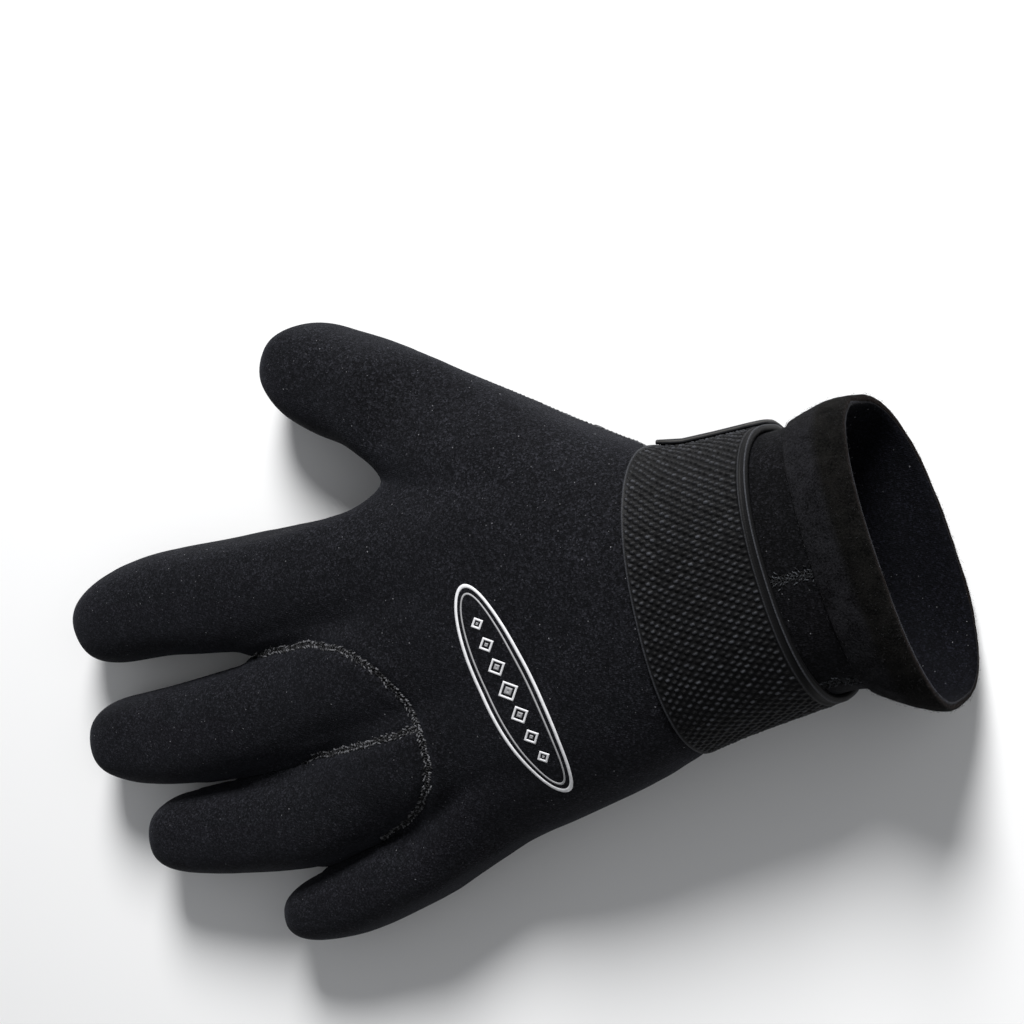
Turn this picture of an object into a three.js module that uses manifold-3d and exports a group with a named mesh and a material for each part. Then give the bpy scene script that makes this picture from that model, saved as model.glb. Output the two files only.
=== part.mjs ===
// Wetsuit-style diving glove for the left hand, lying palm down.
// Millimetres, +Z up. +X runs from the fingertips to the cuff, +Y is the thumb side.
// The neoprene is one grid of quads: a tube for cuff and hand that splits at each crotch
// into the five digits. Every sewn panel is a set of its quads, given the sheet's thickness.
import * as THREE from "three";
import { mergeVertices } from "three/addons/utils/BufferGeometryUtils.js";
import Module from "manifold-3d";

// ---------------------------------------------------------------- driving dimensions
const WALL = 3.0; // neoprene sheet
const GAP = 0.3; // left between sewn panels
const CREASE_REACH = 2; // how many walls deep the inner skin may lie under a crease
const ARC = 5; // quads across one digit, on its back and on its palm side
const SIDE = 33; // degrees of a digit's section, each way from its widest line, that are its side
const BACK_POWER = 2.3; // superellipse power of a section's back
const PALM_POWER = 2.7; // and of its flatter palm side
const WEB = 4.5; // how far the middle of a web stands out in front of its upper and lower ends
const SEAM_X = 66; // where hand and cuff are joined, under the strap
const STRAP = { front: 48.3, back: 79.8, thick: 2.0, clear: 0.35 };
const TAB = { front: 49.1, back: 79.0, thick: 1.7, clear: 0.3, to: 0.8 };
const HEM = { front: 86.5, thick: 2.6, clear: 0.3 };
const GUSSET = { from: 13, to: 22 }; // the back's quad lines that bound the cuff gusset

// Sections of cuff and hand, from the rim to the thumb's crotch.
// xr, yr is the edge on the thumb's side, xu, yu the one on the little finger's side; zt, zb, zs are
// the heights of the back, the palm and the widest line; xt and xb say how far the middle of the back
// and of the palm lie beyond the line between the edges; pr is the power of the thumb's side of the
// back; dt and df are the depths of the valleys at the thumb's crotch and at the fingers' crotches.
const TRUNK = [
  { xr: 102.2, yr: 35.9, xu: 110.0, yu: -38.5, zt: 48.6, zb: 3.2, zs: 25.0, xt: 0.0, xb: 5.0, pr: 2.3, dt: 0, df: 0 },
  { xr: 94.5, yr: 34.9, xu: 102.0, yu: -35.4, zt: 47.8, zb: 3.2, zs: 25.0, xt: 0.6, xb: 3.6, pr: 2.3, dt: 0, df: 0 },
  { xr: 86.5, yr: 33.6, xu: 93.0, yu: -31.6, zt: 47.4, zb: 3.6, zs: 25.3, xt: 1.0, xb: 2.0, pr: 2.3, dt: 0, df: 0 },
  { xr: 79.5, yr: 33.0, xu: 84.5, yu: -31.2, zt: 47.4, zb: 4.7, zs: 25.6, xt: -2.2, xb: 0.6, pr: 2.3, dt: 0, df: 0 },
  { xr: SEAM_X, yr: 32.9, xu: 68.0, yu: -34.0, zt: 47.4, zb: 4.7, zs: 25.6, xt: -2.6, xb: 0, pr: 2.3, dt: 0, df: 0 },
  { xr: 57.5, yr: 33.0, xu: 57.5, yu: -35.9, zt: 47.5, zb: 4.7, zs: 25.4, xt: -2.8, xb: 0, pr: 2.3, dt: 0, df: 0 },
  { xr: 49.0, yr: 34.4, xu: 48.5, yu: -38.0, zt: 48.0, zb: 4.6, zs: 25.0, xt: -2.4, xb: 0, pr: 2.25, dt: 0, df: 0 },
  { xr: 40.0, yr: 40.4, xu: 39.0, yu: -42.8, zt: 48.6, zb: 1.4, zs: 23.5, xt: -1.6, xb: 0, pr: 2.15, dt: 0, df: 0 },
  { xr: 31.0, yr: 45.7, xu: 30.0, yu: -45.9, zt: 48.3, zb: -0.6, zs: 22.0, xt: -0.8, xb: 0, pr: 2.05, dt: 0, df: 0 },
  { xr: 22.5, yr: 51.0, xu: 21.0, yu: -48.6, zt: 47.4, zb: -1.2, zs: 20.5, xt: 0, xb: 0, pr: 1.95, dt: 0.4, df: 0 },
  { xr: 14.0, yr: 57.0, xu: 12.0, yu: -51.1, zt: 46.2, zb: -1.2, zs: 19.2, xt: 0, xb: 0, pr: 1.85, dt: 1.0, df: 0.1 },
  { xr: 5.0, yr: 62.9, xu: 3.5, yu: -53.2, zt: 44.6, zb: -1.0, zs: 18.0, xt: 0, xb: 0, pr: 1.75, dt: 2.2, df: 0.3 },
  { xr: -4.0, yr: 68.8, xu: -5.0, yu: -55.2, zt: 42.8, zb: -0.6, zs: 16.8, xt: 0, xb: 0, pr: 1.65, dt: 4.4, df: 0.6 },
  { xr: -12.7, yr: 74.3, xu: -13.5, yu: -57.6, zt: 40.6, zb: 0.0, zs: 15.6, xt: 0, xb: 0, pr: 1.6, dt: 8.5, df: 1.0 },
];
// How far each section is on its way from the wrist's even spacing to the digits' own widths,
// and from a straight line across to one that reaches forward at the thumb's crotch.
const SPREAD_FROM = 6;
const THUMB_BOW = -12;
// The lines between digits at the thumb's crotch, as shares of the way across the fingers.
const SHARES = [0, 0.3, 0.565, 0.8, 1];
const THUMB_SHARE = 0.237; // the thumb's share of the whole width there
// The line of the knuckles: each crotch, with the outer sides of index and little finger.
const KNUCKLES = [
  { name: "index outer side", x: -84.5, y: 39.1 },
  { name: "index and middle", x: -80.5, y: 5.6 },
  { name: "middle and ring", x: -74.0, y: -25.0 },
  { name: "ring and little", x: -48.4, y: -48.1 },
  { name: "little outer side", x: -41.5, y: -69.0 },
];
const KNUCKLE_TOP = [31.5, 32.5, 33.0, 30.5]; // height of each finger's back on that line
const KNUCKLE_PALM = [2.6, 3.2, 3.2, 2.2];
const KNUCKLE_SIDE = [14.0, 14.5, 14.5, 13.5];
const HAND_ROWS = 6; // rows of quads between the thumb's crotch and the knuckles

// Digits: sections from the crotch to the tip. x, y is the centre, w the half width.
const DIGITS = {
  thumb: [
    { x: -27.7, y: 64.6, w: 15.9, zt: 29.5, zb: 0.2 },
    { x: -33.5, y: 68.7, w: 15.4, zt: 28.0, zb: 0 },
    { x: -39.4, y: 71.9, w: 15.3, zt: 26.8, zb: -0.2 },
    { x: -44.6, y: 75.1, w: 14.9, zt: 25.8, zb: -0.4 },
    { x: -49.4, y: 78.1, w: 14.1, zt: 24.8, zb: -0.4 },
    { x: -53.6, y: 80.8, w: 12.2, zt: 23.4, zb: 0.2 },
    { x: -57.2, y: 83.0, w: 9.2, zt: 21.4, zb: 2.0 },
    { x: -59.6, y: 84.5, w: 5.4, zt: 18.4, zb: 5.0 },
    { x: -60.8, y: 85.2, w: 0, zt: 11, zb: 9 },
  ],
  index: [
    { x: -93.5, y: 23.3, w: 16.1, zt: 29.8, zb: 2.0 },
    { x: -102.0, y: 24.1, w: 15.7, zt: 28.4, zb: 1.4 },
    { x: -110.5, y: 24.7, w: 15.2, zt: 27.2, zb: 0.8 },
    { x: -118.5, y: 24.7, w: 14.7, zt: 26.0, zb: 0.3 },
    { x: -126.0, y: 24.1, w: 14.1, zt: 24.8, zb: -0.2 },
    { x: -132.5, y: 23.2, w: 13.2, zt: 23.6, zb: -0.4 },
    { x: -137.8, y: 22.2, w: 11.6, zt: 22.2, zb: 0.3 },
    { x: -141.6, y: 21.4, w: 8.9, zt: 20.2, zb: 2.2 },
    { x: -143.8, y: 20.9, w: 5.2, zt: 17.4, zb: 5.0 },
    { x: -144.8, y: 20.7, w: 0, zt: 10.5, zb: 8.5 },
  ],
  middle: [
    { x: -90.0, y: -11.0, w: 15.2, zt: 31.0, zb: 2.6 },
    { x: -98.5, y: -12.0, w: 15.2, zt: 29.6, zb: 2.0 },
    { x: -107.0, y: -12.6, w: 15.0, zt: 28.2, zb: 1.4 },
    { x: -115.5, y: -12.8, w: 14.6, zt: 27.0, zb: 0.8 },
    { x: -124.0, y: -12.5, w: 14.0, zt: 25.6, zb: 0.2 },
    { x: -132.0, y: -12.0, w: 13.2, zt: 24.4, zb: -0.3 },
    { x: -139.0, y: -11.0, w: 12.0, zt: 23.0, zb: 0 },
    { x: -144.2, y: -10.1, w: 9.6, zt: 21.0, zb: 1.8 },
    { x: -147.2, y: -9.6, w: 5.8, zt: 17.8, zb: 4.8 },
    { x: -148.5, y: -9.4, w: 0, zt: 10.5, zb: 8.5 },
  ],
  ring: [
    { x: -72.0, y: -40.4, w: 14.5, zt: 31.2, zb: 2.8 },
    { x: -81.5, y: -41.6, w: 14.0, zt: 29.8, zb: 2.2 },
    { x: -91.0, y: -42.0, w: 13.6, zt: 28.4, zb: 1.6 },
    { x: -100.0, y: -42.0, w: 13.3, zt: 27.2, zb: 1.0 },
    { x: -108.5, y: -41.9, w: 13.0, zt: 26.0, zb: 0.4 },
    { x: -116.5, y: -41.7, w: 12.5, zt: 24.8, zb: -0.2 },
    { x: -123.5, y: -41.3, w: 11.7, zt: 23.6, zb: -0.3 },
    { x: -129.4, y: -40.7, w: 10.1, zt: 22.0, zb: 0.6 },
    { x: -133.3, y: -40.1, w: 7.2, zt: 19.6, zb: 3.0 },
    { x: -135.4, y: -39.8, w: 0, zt: 10.5, zb: 8.5 },
  ],
  little: [
    { x: -54.0, y: -61.2, w: 10.7, zt: 28.4, zb: 1.8 },
    { x: -62.0, y: -63.5, w: 10.6, zt: 27.0, zb: 1.2 },
    { x: -70.0, y: -65.7, w: 10.3, zt: 25.8, zb: 0.6 },
    { x: -77.0, y: -67.1, w: 9.9, zt: 24.6, zb: 0.1 },
    { x: -83.5, y: -68.0, w: 9.2, zt: 23.2, zb: -0.2 },
    { x: -89.2, y: -68.4, w: 7.8, zt: 21.6, zb: 0.6 },
    { x: -93.4, y: -68.2, w: 5.4, zt: 19.0, zb: 3.2 },
    { x: -95.8, y: -67.6, w: 0, zt: 10.5, zb: 8.5 },
  ],
};

// Seams sewn on the back, seen from above: the arch round the middle and ring panels,
// and the line between those two, from the fingers' side to the arch.
const ARCH_SEAM = [
  { x: -104, y: 5.2 }, { x: -84, y: 5.2 }, { x: -70, y: 6.0 }, { x: -54, y: 5.9 }, { x: -39.4, y: 1.0 }, { x: -30, y: -9 },
  { x: -25.6, y: -21 }, { x: -26.4, y: -32.5 }, { x: -34.3, y: -41.6 }, { x: -45.2, y: -47.1 }, { x: -58, y: -51.4 }, { x: -68, y: -54.6 },
];
const MIDDLE_SEAM = [{ x: -101, y: -27.9 }, { x: -74, y: -25 }, { x: -46, y: -22.6 }, { x: -25.8, y: -20.4 }];

// ---------------------------------------------------------------- small helpers
const lerp = (a, b, t) => a + (b - a) * t;
const rad = (deg) => (deg * Math.PI) / 180;
const clamp01 = (t) => Math.min(1, Math.max(0, t));
const smooth = (t) => clamp01(t) * clamp01(t) * (3 - 2 * clamp01(t));
const power = (v, p) => Math.sign(v) * Math.abs(v) ** p;
const bulge = (u, p) => (1 - Math.min(1, Math.abs(u)) ** p) ** (1 / p);

// ---------------------------------------------------------------- the grid of quads
const vertices = []; // [x, y, z] of the outer skin
const faces = []; // { ids, kind: "back" | "palm" | "side", where: "cuff" | "hand" | digit, k, row }
const add = (x, y, z) => vertices.push([x, y, z]) - 1;

// A digit's angles, from the thumb's side over the back: ARC quads, then its side, its palm, its side.
const arcAngles = [];
for (let m = 0; m <= ARC; m++) arcAngles.push(SIDE + (m * (180 - 2 * SIDE)) / ARC);
const arcShare = arcAngles.map((a) => (1 - Math.cos(rad(a)) / Math.cos(rad(SIDE))) / 2);
const sideInset = 1 - Math.cos(rad(SIDE)) ** (2 / BACK_POWER);

const LINES = 5 * ARC; // the last quad line across the hand
const VALLEY = [1, 0.42, 0.08]; // a valley's depth on its own line and on those beside it

function trunkSection(row, j) {
  const spread = smooth((j - SPREAD_FROM) / (TRUNK.length - 1 - SPREAD_FROM));
  const back = [],
    palm = [];
  for (let i = 0; i <= LINES; i++) {
    const even = Math.cos(rad(9 + (i * 162) / LINES));
    const d = Math.min(4, Math.floor(i / ARC)),
      m = i - d * ARC;
    // the digit's own place across: the thumb first, then the four fingers
    const from = d === 0 ? 0 : THUMB_SHARE + (1 - THUMB_SHARE) * SHARES[d - 1];
    const to = d === 0 ? THUMB_SHARE : THUMB_SHARE + (1 - THUMB_SHARE) * SHARES[d];
    let share = lerp(from, to, arcShare[m]);
    if (i === 0) share += 0.14 * to * 0.5;
    if (i === LINES) share -= 0.14 * (to - from) * 0.5;
    const own = 1 - 2 * share;
    const u = lerp(even, own, spread);
    const across = (1 - u) / 2;
    const bowAt = across < THUMB_SHARE ? across / THUMB_SHARE : (1 - across) / (1 - THUMB_SHARE);
    const x = lerp(row.xr, row.xu, across) + THUMB_BOW * spread * spread * smooth(bowAt) ** 0.8;
    const y = lerp(row.yr, row.yu, across);
    const reach = bulge(u, 2);
    const pr = u > 0 ? row.pr : 2.45;
    let up = row.zs + (row.zt - row.zs) * bulge(u, pr);
    let down = row.zs - (row.zs - row.zb) * bulge(u, 3.0);
    for (let b = 1; b <= 4; b++) {
      const near = VALLEY[Math.abs(i - b * ARC)] ?? 0;
      const depth = b === 1 ? row.dt : row.df;
      up -= depth * near;
      down += depth * near * 0.55;
    }
    back.push(add(x + row.xt * reach, y, up));
    palm.push(add(x + row.xb * reach, y, down));
  }
  return { back, palm, thumbSide: add(row.xr, row.yr, row.zs), littleSide: add(row.xu, row.yu, row.zs) };
}

const trunk = TRUNK.map(trunkSection);
const reversed = (a) => [...a].reverse();
const ringOf = (s, a, b, thumbSide, littleSide) => [
  ...s.back.slice(a, b + 1), littleSide, ...reversed(s.palm.slice(a, b + 1)), thumbSide,
];

// Quads between two rings of the same length. arcs is the number of quads across their backs.
function band(near, far, arcs, where, row) {
  const n = near.length;
  for (let k = 0; k < n; k++) {
    const kind = k < arcs ? "back" : k < arcs + 2 ? "side" : k < 2 * arcs + 2 ? "palm" : "side";
    const ids = [near[k], near[(k + 1) % n], far[(k + 1) % n], far[k]];
    faces.push({ ids, kind, where, k, row });
  }
}

const trunkRings = trunk.map((s) => ringOf(s, 0, LINES, s.thumbSide, s.littleSide));
for (let j = 0; j + 1 < trunk.length; j++)
  band(trunkRings[j], trunkRings[j + 1], LINES, TRUNK[j + 1].xr >= SEAM_X - 0.01 ? "cuff" : "hand", j);

// The middle of a web, in front of its upper and lower ends.
function web(upper, lower, dx, dy, z) {
  const a = vertices[upper],
    b = vertices[lower];
  return add((a[0] + b[0]) / 2 + dx * WEB, (a[1] + b[1]) / 2 + dy * WEB, z);
}

const last = trunk[trunk.length - 1];
const thumbWeb = web(last.back[ARC], last.palm[ARC], -0.95, 0.3, 13.5);

// The root sections of the four fingers on the line of the knuckles.
const knuckle = { back: [], palm: [] };
for (let i = 0; i <= LINES; i++) {
  if (i < ARC) {
    knuckle.back.push(-1);
    knuckle.palm.push(-1);
    continue;
  }
  const d = Math.min(3, Math.floor(i / ARC) - 1),
    m = i - (d + 1) * ARC;
  const a = KNUCKLES[d],
    b = KNUCKLES[d + 1];
  const inner = (s) => (s === 0 || s === 4 ? 0 : WEB);
  let t = arcShare[m];
  if (i === ARC) t += sideInset / 2;
  if (i === LINES) t -= sideInset / 2;
  const x = lerp(a.x + inner(d), b.x + inner(d + 1), t),
    y = lerp(a.y, b.y, t);
  let up, down;
  const height = (e) => {
    const rise = Math.sin(rad(arcAngles[e.m])) ** (2 / BACK_POWER),
      drop = Math.sin(rad(arcAngles[e.m])) ** (2 / PALM_POWER);
    return [
      KNUCKLE_SIDE[e.d] + (KNUCKLE_TOP[e.d] - KNUCKLE_SIDE[e.d]) * rise,
      KNUCKLE_SIDE[e.d] - (KNUCKLE_SIDE[e.d] - KNUCKLE_PALM[e.d]) * drop,
    ];
  };
  [up, down] = height({ d, m });
  if (m === 0 && d > 0) {
    const other = height({ d: d - 1, m: ARC });
    up = (up + other[0]) / 2;
    down = (down + other[1]) / 2;
  }
  knuckle.back.push(add(x, y, up));
  knuckle.palm.push(add(x, y, down));
}
knuckle.thumbSide = add(KNUCKLES[0].x, KNUCKLES[0].y, KNUCKLE_SIDE[0]);
knuckle.littleSide = add(KNUCKLES[4].x, KNUCKLES[4].y, KNUCKLE_SIDE[3]);

// Rows between the thumb's crotch and the knuckles.
const handRings = [ringOf(last, ARC, LINES, thumbWeb, last.littleSide)];
const knuckleRing = ringOf(knuckle, ARC, LINES, knuckle.thumbSide, knuckle.littleSide);
// the index finger's outer side between the thumb's crotch and the knuckles
const INDEX_EDGE = [
  { x: -38.8, y: 40.2 }, { x: -48, y: 38.8 }, { x: -58, y: 38.3 }, { x: -67, y: 38.5 }, { x: -76, y: 38.9 },
];
for (let j = 1; j < HAND_ROWS; j++) {
  const t = j / HAND_ROWS;
  const n = knuckleRing.length;
  const ring = knuckleRing.map((id, k) => {
    const a = vertices[handRings[0][k]],
      b = vertices[id];
    const p = [0, 1, 2].map((c) => lerp(a[c], b[c], t));
    // ride a little proud of the straight line between the two sections
    if (k < LINES - ARC + 1) p[2] += 1.6 * Math.sin(Math.PI * t) * Math.sin((Math.PI * k) / (LINES - ARC));
    return add(...p);
  });
  const edge = INDEX_EDGE[j - 1];
  const inset = 0.14 * 16;
  const move = (k, x, y) => {
    vertices[ring[k]][0] = x;
    vertices[ring[k]][1] = y;
  };
  move(n - 1, edge.x, edge.y);
  move(0, edge.x, edge.y - inset);
  move(n - 2, edge.x, edge.y - inset);
  vertices[ring[n - 1]][2] = lerp(15.2, KNUCKLE_SIDE[0], t);
  handRings.push(ring);
}
handRings.push(knuckleRing);
for (let j = 0; j < HAND_ROWS; j++) band(handRings[j], handRings[j + 1], LINES - ARC, "hand", j);

const webs = [1, 2, 3].map((b) =>
  web(knuckle.back[(b + 1) * ARC], knuckle.palm[(b + 1) * ARC], -1, 0, (KNUCKLE_SIDE[b - 1] + KNUCKLE_SIDE[b]) / 2 - 1.5),
);
const rootRings = {
  thumb: ringOf(last, 0, ARC, last.thumbSide, thumbWeb),
  index: ringOf(knuckle, ARC, 2 * ARC, knuckle.thumbSide, webs[0]),
  middle: ringOf(knuckle, 2 * ARC, 3 * ARC, webs[0], webs[1]),
  ring: ringOf(knuckle, 3 * ARC, 4 * ARC, webs[1], webs[2]),
  little: ringOf(knuckle, 4 * ARC, 5 * ARC, webs[2], knuckle.littleSide),
};

function digit(name) {
  const rows = DIGITS[name];
  let before = rootRings[name];
  rows.forEach((row, j) => {
    const a = rows[Math.max(0, j - 1)],
      b = rows[Math.min(rows.length - 1, j + 1)];
    const len = Math.hypot(b.x - a.x, b.y - a.y);
    const nx = (b.y - a.y) / len,
      ny = -(b.x - a.x) / len; // towards the thumb's side
    if (row.w === 0) {
      const tip = add(row.x, row.y, (row.zt + row.zb) / 2);
      const n = before.length;
      for (let k = 0; k < n; k++) {
        const kind = k < ARC ? "back" : k < ARC + 2 ? "side" : k < 2 * ARC + 2 ? "palm" : "side";
        faces.push({ ids: [before[k], before[(k + 1) % n], tip], kind, where: name, k, row: j });
      }
      return;
    }
    const zs = lerp(row.zb, row.zt, 0.46);
    const at = (deg) => {
      const c = power(Math.cos(rad(deg)), 2 / (deg > 180 ? PALM_POWER : BACK_POWER)),
        s = power(Math.sin(rad(deg)), 2 / (deg > 180 ? PALM_POWER : BACK_POWER));
      const z = zs + s * (s > 0 ? row.zt - zs : zs - row.zb);
      return add(row.x + nx * row.w * c, row.y + ny * row.w * c, z);
    };
    const ring = [
      ...arcAngles.map(at), at(180), ...arcAngles.map((a2) => at(180 + a2)), at(0),
    ];
    band(before, ring, ARC, name, j);
    before = ring;
  });
}
Object.keys(DIGITS).forEach(digit);

// ---------------------------------------------------------------- ease the corners of the grid
const neighbours = vertices.map(() => new Set());
const edgeUse = new Map();
for (const f of faces)
  f.ids.forEach((a, i) => {
    const b = f.ids[(i + 1) % f.ids.length];
    neighbours[a].add(b);
    neighbours[b].add(a);
    const key = a < b ? a + "_" + b : b + "_" + a;
    edgeUse.set(key, (edgeUse.get(key) ?? 0) + 1);
  });
const held = new Set();
for (let j = 0; j < trunk.length; j++) if (TRUNK[j].xr > 48) trunkRings[j].forEach((id) => held.add(id));
function ease(factor) {
  const moved = vertices.map((v, i) => {
    if (held.has(i)) return v;
    const near = [...neighbours[i]];
    return v.map((c, a) => c + factor * (near.reduce((s, o) => s + vertices[o][a], 0) / near.length - c));
  });
  moved.forEach((v, i) => (vertices[i] = v));
}
for (let n = 0; n < 3; n++) {
  ease(0.5);
  ease(-0.52);
}
// what lies on the floor is flattened by it
for (const v of vertices) v[2] = Math.max(0, v[2]);

// ---------------------------------------------------------------- normals and the inner skin
function normalsOf(points, polys) {
  const sum = points.map(() => new THREE.Vector3());
  const at = (i) => new THREE.Vector3(...points[i]);
  for (const ids of polys) {
    const c = at(ids[0]),
      n = new THREE.Vector3();
    for (let i = 1; i + 1 < ids.length; i++)
      n.add(at(ids[i]).sub(c).cross(at(ids[i + 1]).sub(c)));
    ids.forEach((i) => sum[i].add(n));
  }
  return sum.map((n) => n.normalize());
}
const polygons = faces.map((f) => f.ids);
let volume = 0;
for (const ids of polygons)
  for (let i = 1; i + 1 < ids.length; i++) {
    const [a, b, c] = [ids[0], ids[i], ids[i + 1]].map((k) => new THREE.Vector3(...vertices[k]));
    volume += a.dot(b.cross(c));
  }
if (volume < 0) {
  faces.forEach((f) => f.ids.reverse());
  polygons.length = 0;
  faces.forEach((f) => polygons.push(f.ids));
}
const normals = normalsOf(vertices, polygons);
// The inner skin lies a wall's thickness under every face round a point, as nearly as it can.
const around = vertices.map(() => []);
for (const ids of polygons) {
  const c = ids.map((i) => new THREE.Vector3(...vertices[i]));
  const n = new THREE.Vector3();
  for (let i = 1; i + 1 < ids.length; i++) n.add(c[i].clone().sub(c[0]).cross(c[i + 1].clone().sub(c[0])));
  n.normalize();
  ids.forEach((i) => around[i].push(n));
}
function offsetAt(i, depth) {
  const m = new THREE.Matrix3().set(0, 0, 0, 0, 0, 0, 0, 0, 0);
  const e = m.elements,
    r = normals[i].clone().multiplyScalar(0.12);
  for (const n of [...around[i]]) {
    const v = [n.x, n.y, n.z];
    for (let a = 0; a < 3; a++) for (let b = 0; b < 3; b++) e[b * 3 + a] += v[a] * v[b];
    r.add(n);
  }
  for (let a = 0; a < 3; a++) e[a * 4] += 0.12;
  const o = r.applyMatrix3(m.invert());
  return o.clampLength(0.9, CREASE_REACH).multiplyScalar(depth);
}
const skin = (depth) => vertices.map((v, i) => {
  const o = offsetAt(i, depth);
  return [v[0] - o.x, v[1] - o.y, v[2] - o.z];
});
const inner = skin(WALL);

// ---------------------------------------------------------------- solids from sets of quads
const wasm = await Module();
wasm.setup();

function geometryOf(points, tris) {
  const g = new THREE.BufferGeometry();
  g.setAttribute("position", new THREE.BufferAttribute(new Float32Array(points.flat()), 3));
  g.setIndex(tris.flat());
  return g;
}
function solidOf(geometry) {
  let g = geometry.clone();
  g.deleteAttribute("normal");
  g.deleteAttribute("uv");
  g = mergeVertices(g, 1e-4);
  return new wasm.Manifold(
    new wasm.Mesh({ numProp: 3, vertProperties: g.attributes.position.array, triVerts: new Uint32Array(g.index.array) }),
  );
}
function geometryFrom(solid) {
  const m = solid.getMesh();
  const v = new Float32Array(m.numVert * 3);
  for (let i = 0; i < m.numVert; i++) v.set(m.vertProperties.subarray(i * m.numProp, i * m.numProp + 3), i * 3);
  const g = new THREE.BufferGeometry();
  g.setAttribute("position", new THREE.BufferAttribute(v, 3));
  g.setIndex(new THREE.BufferAttribute(m.triVerts, 1));
  return g;
}

// A sheet between two skins over a set of faces, its cut edges drawn in by half a gap.
// free(x) says which of its edge points are a free edge and stay where they are.
function sheet(polys, outside, inside, free = () => false, pull = GAP / 2 + 0.05) {
  const used = new Map();
  const pointsOut = [],
    pointsIn = [];
  const idOf = (i) => {
    if (!used.has(i)) {
      used.set(i, pointsOut.length);
      pointsOut.push([...outside[i]]);
      pointsIn.push([...inside[i]]);
    }
    return used.get(i);
  };
  const own = polys.map((ids) => ids.map(idOf));
  const edges = new Map();
  own.forEach((ids) =>
    ids.forEach((a, i) => {
      const b = ids[(i + 1) % ids.length];
      edges.set(a + "_" + b, [a, b]);
    }),
  );
  const rim = [...edges.values()].filter(([a, b]) => !edges.has(b + "_" + a));
  // draw the cut edges in, across the edge and along the sheet
  const shift = new Map();
  for (const [points, name] of [[pointsOut, "out"], [pointsIn, "in"]]) {
    const centre = own.map((ids) => [0, 1, 2].map((c) => ids.reduce((s, i) => s + points[i][c], 0) / ids.length));
    const dir = new Map();
    for (const [a, b] of rim) {
      const f = own.findIndex((ids) => ids.some((v, i) => v === a && ids[(i + 1) % ids.length] === b));
      const pa = new THREE.Vector3(...points[a]),
        pb = new THREE.Vector3(...points[b]),
        pc = new THREE.Vector3(...centre[f]);
      const along = pb.clone().sub(pa).normalize();
      const inward = pc.sub(pa);
      inward.addScaledVector(along, -inward.dot(along)).normalize();
      for (const v of [a, b]) dir.set(v, (dir.get(v) ?? new THREE.Vector3()).add(inward));
    }
    for (const [v, d] of dir) if (!free(points[v])) shift.set(name + v, d.normalize().multiplyScalar(pull));
  }
  for (const [key, d] of shift) {
    const points = key.startsWith("out") ? pointsOut : pointsIn;
    const v = Number(key.replace(/\D+/, ""));
    points[v] = [points[v][0] + d.x, points[v][1] + d.y, points[v][2] + d.z];
  }
  const count = pointsOut.length,
    tris = [];
  for (const ids of own)
    for (let i = 1; i + 1 < ids.length; i++) {
      tris.push([ids[0], ids[i], ids[i + 1]]);
      tris.push([ids[0] + count, ids[i + 1] + count, ids[i] + count]);
    }
  for (const [a, b] of rim) {
    tris.push([a, b + count, b]);
    tris.push([a, a + count, b + count]);
  }
  return geometryOf([...pointsOut, ...pointsIn], tris);
}

// ---------------------------------------------------------------- the sewn panels
const pick = (test) => faces.filter(test).map((f) => f.ids);
const isCuff = (f) => f.where === "cuff";
const inBack = (f) => !isCuff(f) && f.kind !== "palm";
const backAll = solidOf(sheet(pick(inBack), vertices, inner));
// a set of faces grown by the gap all round, to be taken out of what it is sewn to
const grown = (test) => solidOf(sheet(pick(test), skin(-GAP), skin(WALL + GAP), () => false, -GAP / 2 + 0.05));
const palmPanel = solidOf(sheet(pick((f) => !isCuff(f) && f.kind === "palm"), vertices, inner)).subtract(grown(inBack));

// A thin upright wall along a seam line, taken out of the back to part its panels.
function seamWall(rows, width = GAP) {
  const curve = new THREE.CatmullRomCurve3(rows.map((r) => new THREE.Vector3(r.x, r.y, 0)), false, "centripetal");
  const steps = (rows.length - 1) * 3;
  const left = [],
    right = [];
  for (let i = 0; i <= steps; i++) {
    const p = curve.getPoint(i / steps),
      t = curve.getTangent(i / steps);
    left.push(new THREE.Vector2(p.x - (t.y * width) / 2, p.y + (t.x * width) / 2));
    right.push(new THREE.Vector2(p.x + (t.y * width) / 2, p.y - (t.x * width) / 2));
  }
  const g = new THREE.ExtrudeGeometry(new THREE.Shape([...left, ...right.reverse()]), { depth: 80, bevelEnabled: false, steps: 1 });
  g.translate(0, 0, -10);
  return solidOf(g);
}
const parted = backAll.subtract(seamWall(ARCH_SEAM)).subtract(seamWall(MIDDLE_SEAM));
const bodies = parted.decompose();
const lowestX = (s) => s.boundingBox().min[0];
const byVolume = bodies.sort((a, b) => b.volume() - a.volume());
const backPanel = byVolume[0];
const [middlePanel, ringPanel] = byVolume.slice(1, 3).sort((a, b) => lowestX(a) - lowestX(b));

const inGusset = (f) => f.kind === "back" && f.k >= GUSSET.from && f.k < GUSSET.to;
const rimEdge = (p) => p[0] > 98.5;
const cuffBody = solidOf(sheet(pick((f) => isCuff(f) && !inGusset(f)), vertices, inner, rimEdge));
const cuffGusset = solidOf(sheet(pick((f) => isCuff(f) && inGusset(f)), vertices, inner, rimEdge)).subtract(
  grown((f) => isCuff(f) && !inGusset(f)),
);

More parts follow.
